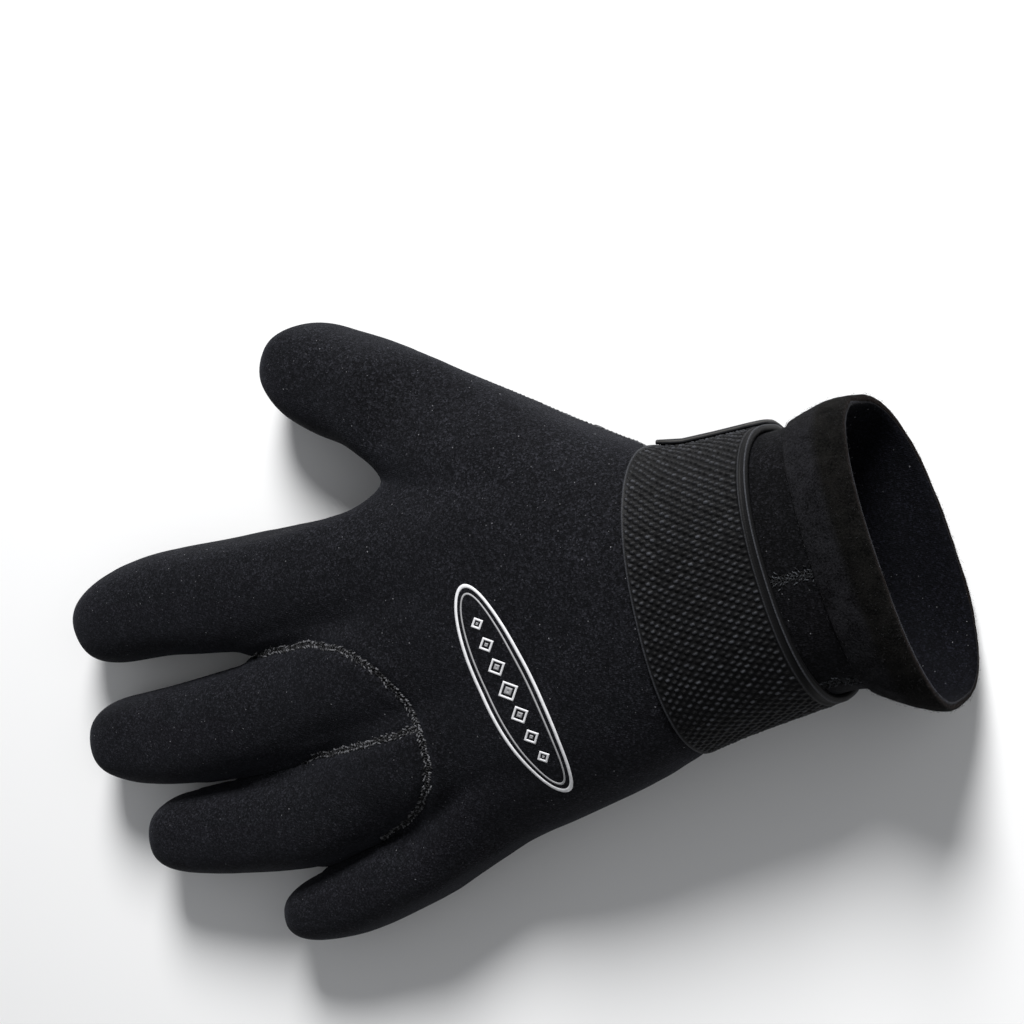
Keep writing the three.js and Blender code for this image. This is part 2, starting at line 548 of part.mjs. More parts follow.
// ---------------------------------------------------------------- strap, tab and hem
// A ring of the trunk whose edge on the thumb's side is at x, with its outward directions.
function ringAt(x) {
  let j = 0;
  while (j + 2 < TRUNK.length && TRUNK[j + 1].xr > x) j++;
  const t = clamp01((TRUNK[j].xr - x) / (TRUNK[j].xr - TRUNK[j + 1].xr));
  return trunkRings[j].map((id, k) => {
    const other = trunkRings[j + 1][k];
    const n = normals[id].clone().lerp(normals[other], t);
    n.x = 0;
    n.normalize();
    return { p: [0, 1, 2].map((c) => lerp(vertices[id][c], vertices[other][c], t)), n };
  });
}
// A band round the wrist: stations across it, each { x, low, high } above the neoprene.
// from and to are ring positions as shares of the way round; a full ring has neither.
function bandRound(stations, from, to) {
  const rings = stations.map((s) => ringAt(s.x));
  const n = rings[0].length;
  const whole = from === undefined;
  const list = [];
  for (let k = 0; k < n; k++) if (whole || (k >= from && k <= to)) list.push(k);
  const m = list.length;
  const point = (s, k, h) => {
    const { p, n: dir } = rings[s][list[k]];
    return [p[0], p[1] + dir.y * h, Math.max(0, p[2] + dir.z * h)];
  };
  const points = [],
    tris = [];
  const S = stations.length;
  const top = (s, k) => s * m + (k % m),
    low = (s, k) => S * m + s * m + (k % m);
  for (let s = 0; s < S; s++) for (let k = 0; k < m; k++) points.push(point(s, k, stations[s].high));
  for (let s = 0; s < S; s++) for (let k = 0; k < m; k++) points.push(point(s, k, stations[s].low));
  const quad = (a, b, c, d) => tris.push([a, b, c], [a, c, d]);
  const steps = whole ? m : m - 1;
  for (let k = 0; k < steps; k++) {
    for (let s = 0; s + 1 < S; s++) {
      quad(top(s, k), top(s + 1, k), top(s + 1, k + 1), top(s, k + 1));
      quad(low(s, k), low(s, k + 1), low(s + 1, k + 1), low(s + 1, k));
    }
    quad(top(0, k), top(0, k + 1), low(0, k + 1), low(0, k));
    quad(top(S - 1, k), low(S - 1, k), low(S - 1, k + 1), top(S - 1, k + 1));
  }
  if (!whole)
    for (let s = 0; s + 1 < S; s++) {
      quad(top(s, 0), low(s, 0), low(s + 1, 0), top(s + 1, 0));
      quad(top(s, m - 1), top(s + 1, m - 1), low(s + 1, m - 1), low(s, m - 1));
    }
  return geometryOf(points, tris);
}
const flatBand = (d) => {
  const edge = d.edge ?? 0;
  return [0, 0.5, 1].map((t) => ({ x: lerp(d.front, d.back, t), low: d.low, high: d.high - (t === 0.5 ? 0 : edge) }));
};

function facingOut(geometry) {
  const made = solidOf(geometry);
  if (made.volume() > 0) return made;
  const idx = geometry.index.array;
  for (let i = 0; i < idx.length; i += 3) [idx[i + 1], idx[i + 2]] = [idx[i + 2], idx[i + 1]];
  return solidOf(geometry);
}
const strap = facingOut(bandRound(flatBand({ ...STRAP, low: STRAP.clear, high: STRAP.clear + STRAP.thick, edge: 0.3 })));
const tabLow = STRAP.clear + STRAP.thick + TAB.clear;
const ringSize = trunkRings[0].length;
const palmStart = LINES + 2; // the first palm line, on the little finger's side
const tab = facingOut(
  bandRound(
    flatBand({ ...TAB, low: tabLow, high: tabLow + TAB.thick, edge: 0.2 }),
    palmStart + Math.round((1 - TAB.to) * LINES),
    ringSize - 1, // up to the edge on the thumb's side
  ),
);
const hemStations = [
  { x: HEM.front, low: HEM.clear, high: HEM.clear + HEM.thick - 0.2 },
  { x: 94.5, low: HEM.clear, high: HEM.clear + HEM.thick },
  { x: 100.6, low: HEM.clear, high: HEM.clear + HEM.thick },
  { x: TRUNK[0].xr - 0.05, low: HEM.clear, high: HEM.clear + HEM.thick - 0.8 },
];
const hem = facingOut(bandRound(hemStations));

// ---------------------------------------------------------------- the glove
const group = new THREE.Group();
const finish = {
  jersey: { color: 0x17181b, roughness: 0.92, metalness: 0 },
  palm: { color: 0x141414, roughness: 0.7, metalness: 0 },
  cuff: { color: 0x131315, roughness: 0.95, metalness: 0 },
  strap: { color: 0x121417, roughness: 0.75, metalness: 0 },
  hem: { color: 0x1e1d1d, roughness: 1, metalness: 0 },
};
function place(name, solid, look) {
  const mesh = new THREE.Mesh(geometryFrom(solid), new THREE.MeshStandardMaterial(finish[look]));
  mesh.name = name;
  group.add(mesh);
}
place("back_panel", backPanel, "jersey");
place("middle_finger_panel", middlePanel, "jersey");
place("ring_finger_panel", ringPanel, "jersey");
place("palm_panel", palmPanel, "palm");
place("cuff_body", cuffBody, "cuff");
place("cuff_gusset", cuffGusset, "cuff");
place("cuff_hem", hem, "hem");
place("wrist_strap", strap, "strap");
place("strap_tab", tab, "strap");

// the origin is under the middle of the glove, on the floor
const box = new THREE.Box3().setFromObject(group);
group.position.set(-(box.min.x + box.max.x) / 2, -(box.min.y + box.max.y) / 2, -box.min.z);

export default group;
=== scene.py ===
"""The diving glove's looks. Every soft piece is remade here at a finer grain than its solid,
from the same tables of sections, and rides on the one body."""
import math

import bmesh
import bpy
import numpy as np
from mathutils import Matrix, Vector
from mathutils.bvhtree import BVHTree


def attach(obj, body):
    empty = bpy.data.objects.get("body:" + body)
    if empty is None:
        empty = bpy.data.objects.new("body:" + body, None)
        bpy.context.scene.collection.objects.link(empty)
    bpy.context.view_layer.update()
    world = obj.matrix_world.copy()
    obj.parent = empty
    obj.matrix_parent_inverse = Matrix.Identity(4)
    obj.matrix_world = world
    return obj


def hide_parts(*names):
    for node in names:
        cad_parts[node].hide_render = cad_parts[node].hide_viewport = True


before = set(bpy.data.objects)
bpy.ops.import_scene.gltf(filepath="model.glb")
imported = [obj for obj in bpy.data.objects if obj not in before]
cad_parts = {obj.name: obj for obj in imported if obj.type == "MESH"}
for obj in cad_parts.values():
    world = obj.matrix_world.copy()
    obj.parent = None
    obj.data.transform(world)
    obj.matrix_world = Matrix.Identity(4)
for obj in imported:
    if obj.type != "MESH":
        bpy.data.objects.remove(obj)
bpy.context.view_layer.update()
RNG = np.random.default_rng(7)

# ------------------------------------------------------------------ place and camera
SHIFT = np.array([17.777, -6.973, 0.0])  # from the tables' own origin to the row frame, mm
MM = 0.001


def camera():
    """The photograph's camera: 27 degrees off the vertical towards the cuff, rolled 13."""
    fov, tilt, roll, dist = 28.0, math.radians(27.0), math.radians(13.0), 532.0
    seen, at = (520.0, 622.0), np.array([0.0, 0.0, 19.0])
    f = 512 / math.tan(math.radians(fov / 2))
    d = np.array([-math.sin(tilt), 0, -math.cos(tilt)])
    r0 = np.array([math.cos(tilt), 0, -math.sin(tilt)])
    u0 = np.array([0, 1.0, 0])
    r = math.cos(roll) * r0 - math.sin(roll) * u0
    u = math.sin(roll) * r0 + math.cos(roll) * u0
    c = at - (r * (seen[0] - 512) / f * dist - u * (seen[1] - 512) / f * dist + d * dist) + SHIFT
    cam = bpy.data.cameras.new("camera")
    cam.sensor_width = 36
    cam.lens = 18 / math.tan(math.radians(fov / 2))
    cam.clip_start, cam.clip_end = 0.01, 20
    ob = bpy.data.objects.new("camera", cam)
    m = Matrix([[r[i], u[i], -d[i], c[i] * MM] for i in range(3)] + [[0, 0, 0, 1]])
    ob.matrix_world = m
    bpy.context.collection.objects.link(ob)
    bpy.context.scene.camera = ob


camera()

# ------------------------------------------------------------------ the glove's tables
WALL, CREASE_REACH = 3.0, 2.0
ARC, SIDE, BACK_POWER, PALM_POWER, WEB = 5, 33.0, 2.3, 2.7, 4.5
LINES = 5 * ARC
SPREAD_FROM, THUMB_BOW, THUMB_SHARE, HAND_ROWS = 6, -12.0, 0.237, 6
SHARES = [0, 0.3, 0.565, 0.8, 1]
VALLEY = {0: 1, 1: 0.42, 2: 0.08}
TRUNK = [
    # xr, yr, xu, yu, zt, zb, zs, xt, xb, pr, dt, df
    (102.2, 35.9, 110.0, -38.5, 48.6, 3.2, 25.0, 0.0, 5.0, 2.3, 0, 0),
    (94.5, 34.9, 102.0, -35.4, 47.8, 3.2, 25.0, 0.6, 3.6, 2.3, 0, 0),
    (86.5, 33.6, 93.0, -31.6, 47.4, 3.6, 25.3, 1.0, 2.0, 2.3, 0, 0),
    (79.5, 33.0, 84.5, -31.2, 47.4, 4.7, 25.6, -2.2, 0.6, 2.3, 0, 0),
    (66.0, 32.9, 68.0, -34.0, 47.4, 4.7, 25.6, -2.6, 0, 2.3, 0, 0),
    (57.5, 33.0, 57.5, -35.9, 47.5, 4.7, 25.4, -2.8, 0, 2.3, 0, 0),
    (49.0, 34.4, 48.5, -38.0, 48.0, 4.6, 25.0, -2.4, 0, 2.25, 0, 0),
    (40.0, 40.4, 39.0, -42.8, 48.6, 1.4, 23.5, -1.6, 0, 2.15, 0, 0),
    (31.0, 45.7, 30.0, -45.9, 48.3, -0.6, 22.0, -0.8, 0, 2.05, 0, 0),
    (22.5, 51.0, 21.0, -48.6, 47.4, -1.2, 20.5, 0, 0, 1.95, 0.4, 0),
    (14.0, 57.0, 12.0, -51.1, 46.2, -1.2, 19.2, 0, 0, 1.85, 1.0, 0.1),
    (5.0, 62.9, 3.5, -53.2, 44.6, -1.0, 18.0, 0, 0, 1.75, 2.2, 0.3),
    (-4.0, 68.8, -5.0, -55.2, 42.8, -0.6, 16.8, 0, 0, 1.65, 4.4, 0.6),
    (-12.7, 74.3, -13.5, -57.6, 40.6, 0.0, 15.6, 0, 0, 1.6, 8.5, 1.0),
]
CUFF_ROWS = 4  # rows of quads from the rim to the seam under the strap
KNUCKLES = [(-84.5, 39.1), (-80.5, 5.6), (-74.0, -25.0), (-48.4, -48.1), (-41.5, -69.0)]
KNUCKLE_TOP, KNUCKLE_PALM = [31.5, 32.5, 33.0, 30.5], [2.6, 3.2, 3.2, 2.2]
KNUCKLE_SIDE = [14.0, 14.5, 14.5, 13.5]
INDEX_EDGE = [(-38.8, 40.2), (-48, 38.8), (-58, 38.3), (-67, 38.5), (-76, 38.9)]
DIGITS = {
    # x, y, half width, top, bottom
    "thumb": [
        (-27.7, 64.6, 15.9, 29.5, 0.2), (-33.5, 68.7, 15.4, 28.0, 0), (-39.4, 71.9, 15.3, 26.8, -0.2),
        (-44.6, 75.1, 14.9, 25.8, -0.4), (-49.4, 78.1, 14.1, 24.8, -0.4), (-53.6, 80.8, 12.2, 23.4, 0.2),
        (-57.2, 83.0, 9.2, 21.4, 2.0), (-59.6, 84.5, 5.4, 18.4, 5.0), (-60.8, 85.2, 0, 11, 9),
    ],
    "index": [
        (-93.5, 23.3, 16.1, 29.8, 2.0), (-102.0, 24.1, 15.7, 28.4, 1.4), (-110.5, 24.7, 15.2, 27.2, 0.8),
        (-118.5, 24.7, 14.7, 26.0, 0.3), (-126.0, 24.1, 14.1, 24.8, -0.2), (-132.5, 23.2, 13.2, 23.6, -0.4),
        (-137.8, 22.2, 11.6, 22.2, 0.3), (-141.6, 21.4, 8.9, 20.2, 2.2), (-143.8, 20.9, 5.2, 17.4, 5.0),
        (-144.8, 20.7, 0, 10.5, 8.5),
    ],
    "middle": [
        (-90.0, -11.0, 15.2, 31.0, 2.6), (-98.5, -12.0, 15.2, 29.6, 2.0), (-107.0, -12.6, 15.0, 28.2, 1.4),
        (-115.5, -12.8, 14.6, 27.0, 0.8), (-124.0, -12.5, 14.0, 25.6, 0.2), (-132.0, -12.0, 13.2, 24.4, -0.3),
        (-139.0, -11.0, 12.0, 23.0, 0), (-144.2, -10.1, 9.6, 21.0, 1.8), (-147.2, -9.6, 5.8, 17.8, 4.8),
        (-148.5, -9.4, 0, 10.5, 8.5),
    ],
    "ring": [
        (-72.0, -40.4, 14.5, 31.2, 2.8), (-81.5, -41.6, 14.0, 29.8, 2.2), (-91.0, -42.0, 13.6, 28.4, 1.6),
        (-100.0, -42.0, 13.3, 27.2, 1.0), (-108.5, -41.9, 13.0, 26.0, 0.4), (-116.5, -41.7, 12.5, 24.8, -0.2),
        (-123.5, -41.3, 11.7, 23.6, -0.3), (-129.4, -40.7, 10.1, 22.0, 0.6), (-133.3, -40.1, 7.2, 19.6, 3.0),
        (-135.4, -39.8, 0, 10.5, 8.5),
    ],
    "little": [
        (-54.0, -61.2, 10.7, 28.4, 1.8), (-62.0, -63.5, 10.6, 27.0, 1.2), (-70.0, -65.7, 10.3, 25.8, 0.6),
        (-77.0, -67.1, 9.9, 24.6, 0.1), (-83.5, -68.0, 9.2, 23.2, -0.2), (-89.2, -68.4, 7.8, 21.6, 0.6),
        (-93.4, -68.2, 5.4, 19.0, 3.2), (-95.8, -67.6, 0, 10.5, 8.5),
    ],
}
ARCH_SEAM = [
    (-104, 5.2), (-84, 5.2), (-70, 6.0), (-54, 5.9), (-39.4, 1.0), (-30, -9),
    (-25.6, -21), (-26.4, -32.5), (-34.3, -41.6), (-45.2, -47.1), (-58, -51.4), (-68, -54.6),
]
MIDDLE_SEAM = [(-101, -27.9), (-74, -25), (-46, -22.6), (-25.8, -20.4)]
GUSSET = (13, 22)


def lerp(a, b, t):
    return a + (b - a) * t


def smooth(t):
    t = min(1.0, max(0.0, t))
    return t * t * (3 - 2 * t)


def power(v, p):
    return math.copysign(abs(v) ** p, v)


def bulge(u, p):
    return (1 - min(1.0, abs(u)) ** p) ** (1 / p)


rad = math.radians
ARC_ANGLES = [SIDE + m * (180 - 2 * SIDE) / ARC for m in range(ARC + 1)]
ARC_SHARE = [(1 - math.cos(rad(a)) / math.cos(rad(SIDE))) / 2 for a in ARC_ANGLES]
SIDE_INSET = 1 - math.cos(rad(SIDE)) ** (2 / BACK_POWER)


def build_cage():
    """The outer skin's quads, the same grid as the solids: points (mm) and faces with their place."""
    V, F = [], []

    def add(x, y, z):
        V.append([x, y, z])
        return len(V) - 1

    def section(row, j):
        xr, yr, xu, yu, zt, zb, zs, xt, xb, pr, dt, df = row
        spread = smooth((j - SPREAD_FROM) / (len(TRUNK) - 1 - SPREAD_FROM))
        back, palm = [], []
        for i in range(LINES + 1):
            even = math.cos(rad(9 + i * 162 / LINES))
            d = min(4, i // ARC)
            m = i - d * ARC
            lo = 0 if d == 0 else THUMB_SHARE + (1 - THUMB_SHARE) * SHARES[d - 1]
            hi = THUMB_SHARE if d == 0 else THUMB_SHARE + (1 - THUMB_SHARE) * SHARES[d]
            share = lerp(lo, hi, ARC_SHARE[m])
            if i == 0:
                share += 0.14 * hi * 0.5
            if i == LINES:
                share -= 0.14 * (hi - lo) * 0.5
            u = lerp(even, 1 - 2 * share, spread)
            across = (1 - u) / 2
            bow = across / THUMB_SHARE if across < THUMB_SHARE else (1 - across) / (1 - THUMB_SHARE)
            x = lerp(xr, xu, across) + THUMB_BOW * spread * spread * smooth(bow) ** 0.8
            y = lerp(yr, yu, across)
            reach = bulge(u, 2)
            up = zs + (zt - zs) * bulge(u, pr if u > 0 else 2.45)
            down = zs - (zs - zb) * bulge(u, 3.0)
            for b in range(1, 5):
                near = VALLEY.get(abs(i - b * ARC), 0)
                depth = dt if b == 1 else df
                up -= depth * near
                down += depth * near * 0.55
            back.append(add(x + xt * reach, y, up))
            palm.append(add(x + xb * reach, y, down))
        return back, palm, add(xr, yr, zs), add(xu, yu, zs)

    trunk = [section(row, j) for j, row in enumerate(TRUNK)]

    def ring_of(back, palm, a, b, thumb_side, little_side):
        return back[a : b + 1] + [little_side] + palm[a : b + 1][::-1] + [thumb_side]

    def band(near, far, arcs, where, row):
        n = len(near)
        for k in range(n):
            kind = "back" if k < arcs else "side" if k < arcs + 2 else "palm" if k < 2 * arcs + 2 else "side"
            F.append(([near[k], near[(k + 1) % n], far[(k + 1) % n], far[k]], kind, where, k, row))

    rings = [ring_of(s[0], s[1], 0, LINES, s[2], s[3]) for s in trunk]
    for j in range(len(trunk) - 1):
        band(rings[j], rings[j + 1], LINES, "cuff" if j < CUFF_ROWS else "hand", j)

    def web(upper, lower, dx, dy, z):
        a, b = V[upper], V[lower]
        return add((a[0] + b[0]) / 2 + dx * WEB, (a[1] + b[1]) / 2 + dy * WEB, z)

    back, palm, thumb_side, little_side = trunk[-1]
    thumb_web = web(back[ARC], palm[ARC], -0.95, 0.3, 13.5)
    kb, kp = [-1] * ARC, [-1] * ARC
    for i in range(ARC, LINES + 1):
        d = min(3, i // ARC - 1)
        m = i - (d + 1) * ARC
        a, b = KNUCKLES[d], KNUCKLES[d + 1]

        def inner(s):
            return 0 if s in (0, 4) else WEB

        t = ARC_SHARE[m]
        if i == ARC:
            t += SIDE_INSET / 2
        if i == LINES:
            t -= SIDE_INSET / 2
        x, y = lerp(a[0] + inner(d), b[0] + inner(d + 1), t), lerp(a[1], b[1], t)

        def height(dd, mm):
            rise = math.sin(rad(ARC_ANGLES[mm])) ** (2 / BACK_POWER)
            drop = math.sin(rad(ARC_ANGLES[mm])) ** (2 / PALM_POWER)
            side = KNUCKLE_SIDE[dd]
            return side + (KNUCKLE_TOP[dd] - side) * rise, side - (side - KNUCKLE_PALM[dd]) * drop

        up, down = height(d, m)
        if m == 0 and d > 0:
            other = height(d - 1, ARC)
            up, down = (up + other[0]) / 2, (down + other[1]) / 2
        kb.append(add(x, y, up))
        kp.append(add(x, y, down))
    k_thumb = add(*KNUCKLES[0], KNUCKLE_SIDE[0])
    k_little = add(*KNUCKLES[4], KNUCKLE_SIDE[3])
    hand = [ring_of(back, palm, ARC, LINES, thumb_web, little_side)]
    k_ring = ring_of(kb, kp, ARC, LINES, k_thumb, k_little)
    n = len(k_ring)
    for j in range(1, HAND_ROWS):
        t = j / HAND_ROWS
        ring = []
        for k, idx in enumerate(k_ring):
            p = [lerp(V[hand[0][k]][c], V[idx][c], t) for c in range(3)]
            if k < LINES - ARC + 1:
                p[2] += 1.6 * math.sin(math.pi * t) * math.sin(math.pi * k / (LINES - ARC))
            ring.append(add(*p))
        ex, ey = INDEX_EDGE[j - 1]
        for k, y in ((n - 1, ey), (0, ey - 0.14 * 16), (n - 2, ey - 0.14 * 16)):
            V[ring[k]][0], V[ring[k]][1] = ex, y
        V[ring[n - 1]][2] = lerp(15.2, KNUCKLE_SIDE[0], t)
        hand.append(ring)
    hand.append(k_ring)
    for j in range(HAND_ROWS):
        band(hand[j], hand[j + 1], LINES - ARC, "hand", j)
    webs = [
        web(kb[(b + 1) * ARC], kp[(b + 1) * ARC], -1, 0, (KNUCKLE_SIDE[b - 1] + KNUCKLE_SIDE[b]) / 2 - 1.5)
        for b in (1, 2, 3)
    ]
    roots = {
        "thumb": ring_of(back, palm, 0, ARC, thumb_side, thumb_web),
        "index": ring_of(kb, kp, ARC, 2 * ARC, k_thumb, webs[0]),
        "middle": ring_of(kb, kp, 2 * ARC, 3 * ARC, webs[0], webs[1]),
        "ring": ring_of(kb, kp, 3 * ARC, 4 * ARC, webs[1], webs[2]),
        "little": ring_of(kb, kp, 4 * ARC, 5 * ARC, webs[2], k_little),
    }
    for name, rows in DIGITS.items():
        before = roots[name]
        for j, (x, y, w, zt, zb) in enumerate(rows):
            a, b = rows[max(0, j - 1)], rows[min(len(rows) - 1, j + 1)]
            length = math.hypot(b[0] - a[0], b[1] - a[1])
            nx, ny = (b[1] - a[1]) / length, -(b[0] - a[0]) / length
            if w == 0:
                tip = add(x, y, (zt + zb) / 2)
                m = len(before)
                for k in range(m):
                    kind = "back" if k < ARC else "side" if k < ARC + 2 else "palm" if k < 2 * ARC + 2 else "side"
                    F.append(([before[k], before[(k + 1) % m], tip], kind, name, k, j))
                continue
            zs = lerp(zb, zt, 0.46)

            def at(deg):
                p = 2 / (PALM_POWER if deg > 180 else BACK_POWER)
                c, s = power(math.cos(rad(deg)), p), power(math.sin(rad(deg)), p)
                return add(x + nx * w * c, y + ny * w * c, zs + s * (zt - zs if s > 0 else zs - zb))

            ring = [at(q) for q in ARC_ANGLES] + [at(180)] + [at(180 + q) for q in ARC_ANGLES] + [at(0)]
            band(before, ring, ARC, name, j)
            before = ring
    V = np.array(V, float)
    near = [set() for _ in V]
    for ids, *_ in F:
        for i, a in enumerate(ids):
            b = ids[(i + 1) % len(ids)]
            near[a].add(b)
            near[b].add(a)
    held = {i for j, ring in enumerate(rings) if TRUNK[j][0] > 48 for i in ring}
    free = np.array([i not in held for i in range(len(V))])
    near = [np.array(sorted(s)) for s in near]
    for _ in range(3):
        for factor in (0.5, -0.52):
            mean = np.array([V[s].mean(0) for s in near])
            V = np.where(free[:, None], V + factor * (mean - V), V)
    V[:, 2] = np.maximum(0, V[:, 2])
    return V, F, rings


CAGE, FACES, RINGS = build_cage()


def face_normals(V, polys):
    out = []
    for ids in polys:
        p = V[ids]
        n = sum(np.cross(p[i] - p[0], p[i + 1] - p[0]) for i in range(1, len(ids) - 1))
        out.append(n)
    return out


POLYS = [f[0] for f in FACES]
_fn = face_normals(CAGE, POLYS)
_vol = sum(float(np.dot(CAGE[ids[0]], n)) for ids, n in zip(POLYS, _fn))
if _vol < 0:
    POLYS = [ids[::-1] for ids in POLYS]
    FACES = [(ids, *f[1:]) for ids, f in zip(POLYS, FACES)]
    _fn = face_normals(CAGE, POLYS)


def cage_skin(depth):
    """The cage moved inwards by depth, a wall's thickness under every face round a point."""
    area = np.zeros_like(CAGE)
    around = [[] for _ in CAGE]
    for ids, n in zip(POLYS, _fn):
        unit = n / max(1e-12, np.linalg.norm(n))
        for i in ids:
            area[i] += n
            around[i].append(unit)
    area /= np.maximum(1e-12, np.linalg.norm(area, axis=1))[:, None]
    out = CAGE.copy()
    for i, ns in enumerate(around):
        ns = np.array(ns)
        m = ns.T @ ns + 0.12 * np.eye(3)
        o = np.linalg.solve(m, ns.sum(0) + 0.12 * area[i])
        size = np.linalg.norm(o)
        o *= min(CREASE_REACH, max(0.9, size)) / size
        out[i] -= o * depth
    return out


# ------------------------------------------------------------------ mesh helpers
def mesh_object(name, points_mm, polys, smooth_faces=True):
    me = bpy.data.meshes.new(name)
    me.from_pydata([tuple(p) for p in (np.asarray(points_mm) * MM)], [], [list(map(int, f)) for f in polys])
    me.update()
    if smooth_faces:
        me.polygons.foreach_set("use_smooth", [True] * len(me.polygons))
    ob = bpy.data.objects.new(name, me)
    bpy.context.collection.objects.link(ob)
    return ob


def subdivided(points, polys, tags, levels, limit=True):
    """Catmull-Clark: the points (mm), faces and the faces' tags."""
    me = bpy.data.meshes.new("work")
    me.from_pydata([tuple(p) for p in points], [], [list(map(int, f)) for f in polys])
    me.polygons.foreach_set("material_index", tags)
    ob = bpy.data.objects.new("work", me)
    bpy.context.collection.objects.link(ob)
    mod = ob.modifiers.new("s", "SUBSURF")
    mod.levels = mod.render_levels = levels
    mod.use_limit_surface = limit
    mod.quality = 3
    dg = bpy.context.evaluated_depsgraph_get()
    ev = ob.evaluated_get(dg)
    m = ev.to_mesh()
    co = np.empty(len(m.vertices) * 3)
    m.vertices.foreach_get("co", co)
    n = len(m.polygons)
    start = np.empty(n, int)
    total = np.empty(n, int)
    m.polygons.foreach_get("loop_start", start)
    m.polygons.foreach_get("loop_total", total)
    loops = np.empty(len(m.loops), int)
    m.loops.foreach_get("vertex_index", loops)
    tag = np.empty(n, int)
    m.polygons.foreach_get("material_index", tag)
    ev.to_mesh_clear()
    bpy.data.objects.remove(ob)
    bpy.data.meshes.remove(me)
    if (total == 4).all():
        faces = loops.reshape(-1, 4)
    else:
        faces = [loops[s : s + t] for s, t in zip(start, total)]
    return co.reshape(-1, 3), faces, tag


def through(points, polys, tags, levels=1, rounds=3):
    """A cage whose Catmull-Clark surface passes through the given points."""
    cage = points.copy()
    for _ in range(rounds):
        co, _, _ = subdivided(cage, polys, tags, levels)
        cage += points - co[: len(points)]
    return cage


def vertex_normals(V, quads):
    n = np.zeros_like(V)
    q = np.asarray(quads)
    f = np.cross(V[q[:, 2]] - V[q[:, 0]], V[q[:, 3]] - V[q[:, 1]])
    for c in range(4):
        np.add.at(n, q[:, c], f)
    return n / np.maximum(1e-12, np.linalg.norm(n, axis=1))[:, None]


def catmull(rows, per=16):
    """Points along a centripetal Catmull-Rom curve through the rows."""
    P = np.array(rows, float)
    P = np.vstack([2 * P[0] - P[1], P, 2 * P[-1] - P[-2]])
    out = []
    for i in range(1, len(P) - 2):
        p0, p1, p2, p3 = P[i - 1 : i + 3]
        t0 = 0
        t1 = t0 + np.linalg.norm(p1 - p0) ** 0.5
        t2 = t1 + np.linalg.norm(p2 - p1) ** 0.5
        t3 = t2 + np.linalg.norm(p3 - p2) ** 0.5
        for t in np.linspace(t1, t2, per, endpoint=False):
            a1 = (t1 - t) / (t1 - t0) * p0 + (t - t0) / (t1 - t0) * p1
            a2 = (t2 - t) / (t2 - t1) * p1 + (t - t1) / (t2 - t1) * p2
            a3 = (t3 - t) / (t3 - t2) * p2 + (t - t2) / (t3 - t2) * p3
            b1 = (t2 - t) / (t2 - t0) * a1 + (t - t0) / (t2 - t0) * a2
            b2 = (t3 - t) / (t3 - t1) * a2 + (t - t1) / (t3 - t1) * a3
            out.append((t2 - t) / (t2 - t1) * b1 + (t - t1) / (t2 - t1) * b2)
    out.append(P[-2])
    return np.array(out)


def resample(line, step):
    """The line as points a step apart."""
    line = np.asarray(line, float)
    seg = np.linalg.norm(np.diff(line, axis=0), axis=1)
    s = np.concatenate([[0], np.cumsum(seg)])
    n = max(2, int(round(s[-1] / step)) + 1)
    t = np.linspace(0, s[-1], n)
    return np.stack([np.interp(t, s, line[:, c]) for c in range(line.shape[1])], 1)


def plan_distance(xy, line):
    """Distance in plan from points to a polyline, and the closest point on it."""
    best = np.full(len(xy), 1e9)
    close = np.zeros((len(xy), 2))
    for a, b in zip(line[:-1], line[1:]):
        d = b - a
        t = np.clip(((xy - a) @ d) / max(1e-12, d @ d), 0, 1)
        p = a + t[:, None] * d
        r = np.linalg.norm(xy - p, axis=1)
        m = r < best
        best[m], close[m] = r[m], p[m]
    return best, close


def inside(xy, polygon):
    """Whether points lie inside a closed polygon, in plan."""
    x, y = xy[:, 0], xy[:, 1]
    hit = np.zeros(len(xy), bool)
    for (x0, y0), (x1, y1) in zip(polygon, np.roll(polygon, -1, axis=0)):
        cross = (y0 > y) != (y1 > y)
        with np.errstate(divide="ignore", invalid="ignore"):
            hit ^= cross & (x < (x1 - x0) * (y - y0) / (y1 - y0) + x0)
    return hit


def value_noise(P, size, seed, octaves=2):
    """Smooth noise of the points in -1..1, its blobs about size mm."""
    out, amp, total = np.zeros(len(P)), 1.0, 0.0
    for o in range(octaves):
        q = P / size * 2**o + seed * 17.13 + o * 5.7
        i = np.floor(q).astype(int)
        f = q - i
        f = f * f * (3 - 2 * f)
        acc = np.zeros(len(P))
        for c in range(8):
            dx, dy, dz = c & 1, (c >> 1) & 1, c >> 2
            h = (i[:, 0] + dx) * 374761393 + (i[:, 1] + dy) * 668265263 + (i[:, 2] + dz) * 2147483647 + seed * 144665
            h = (h ^ (h >> 13)) * 1274126177 & 0x7FFFFFFF
            v = (h ^ (h >> 16)) % 65536 / 32768.0 - 1
            w = (f[:, 0] if dx else 1 - f[:, 0]) * (f[:, 1] if dy else 1 - f[:, 1]) * (f[:, 2] if dz else 1 - f[:, 2])
            acc += w * v
        out += amp * acc
        total += amp
        amp *= 0.5
    return out / total


# ------------------------------------------------------------------ the neoprene's skins
BACK, PALM, CUFF, GUS, MIDDLE, RINGF = range(6)


def base_tag(f):
    _, kind, where, k, row = f
    if where == "cuff":
        return GUS if kind == "back" and GUSSET[0] <= k < GUSSET[1] else CUFF
    return PALM if kind == "palm" else BACK


TAGS = [base_tag(f) for f in FACES]
OUTER = through(CAGE, POLYS, TAGS)
INNER_CAGE = cage_skin(WALL)
out2, quads2, tag2 = subdivided(OUTER, POLYS, TAGS, 2)
in2, _, _ = subdivided(through(INNER_CAGE, POLYS, TAGS), POLYS, TAGS, 2)
quads2 = np.asarray(quads2)

arch = catmull(ARCH_SEAM)
middle = catmull(MIDDLE_SEAM)
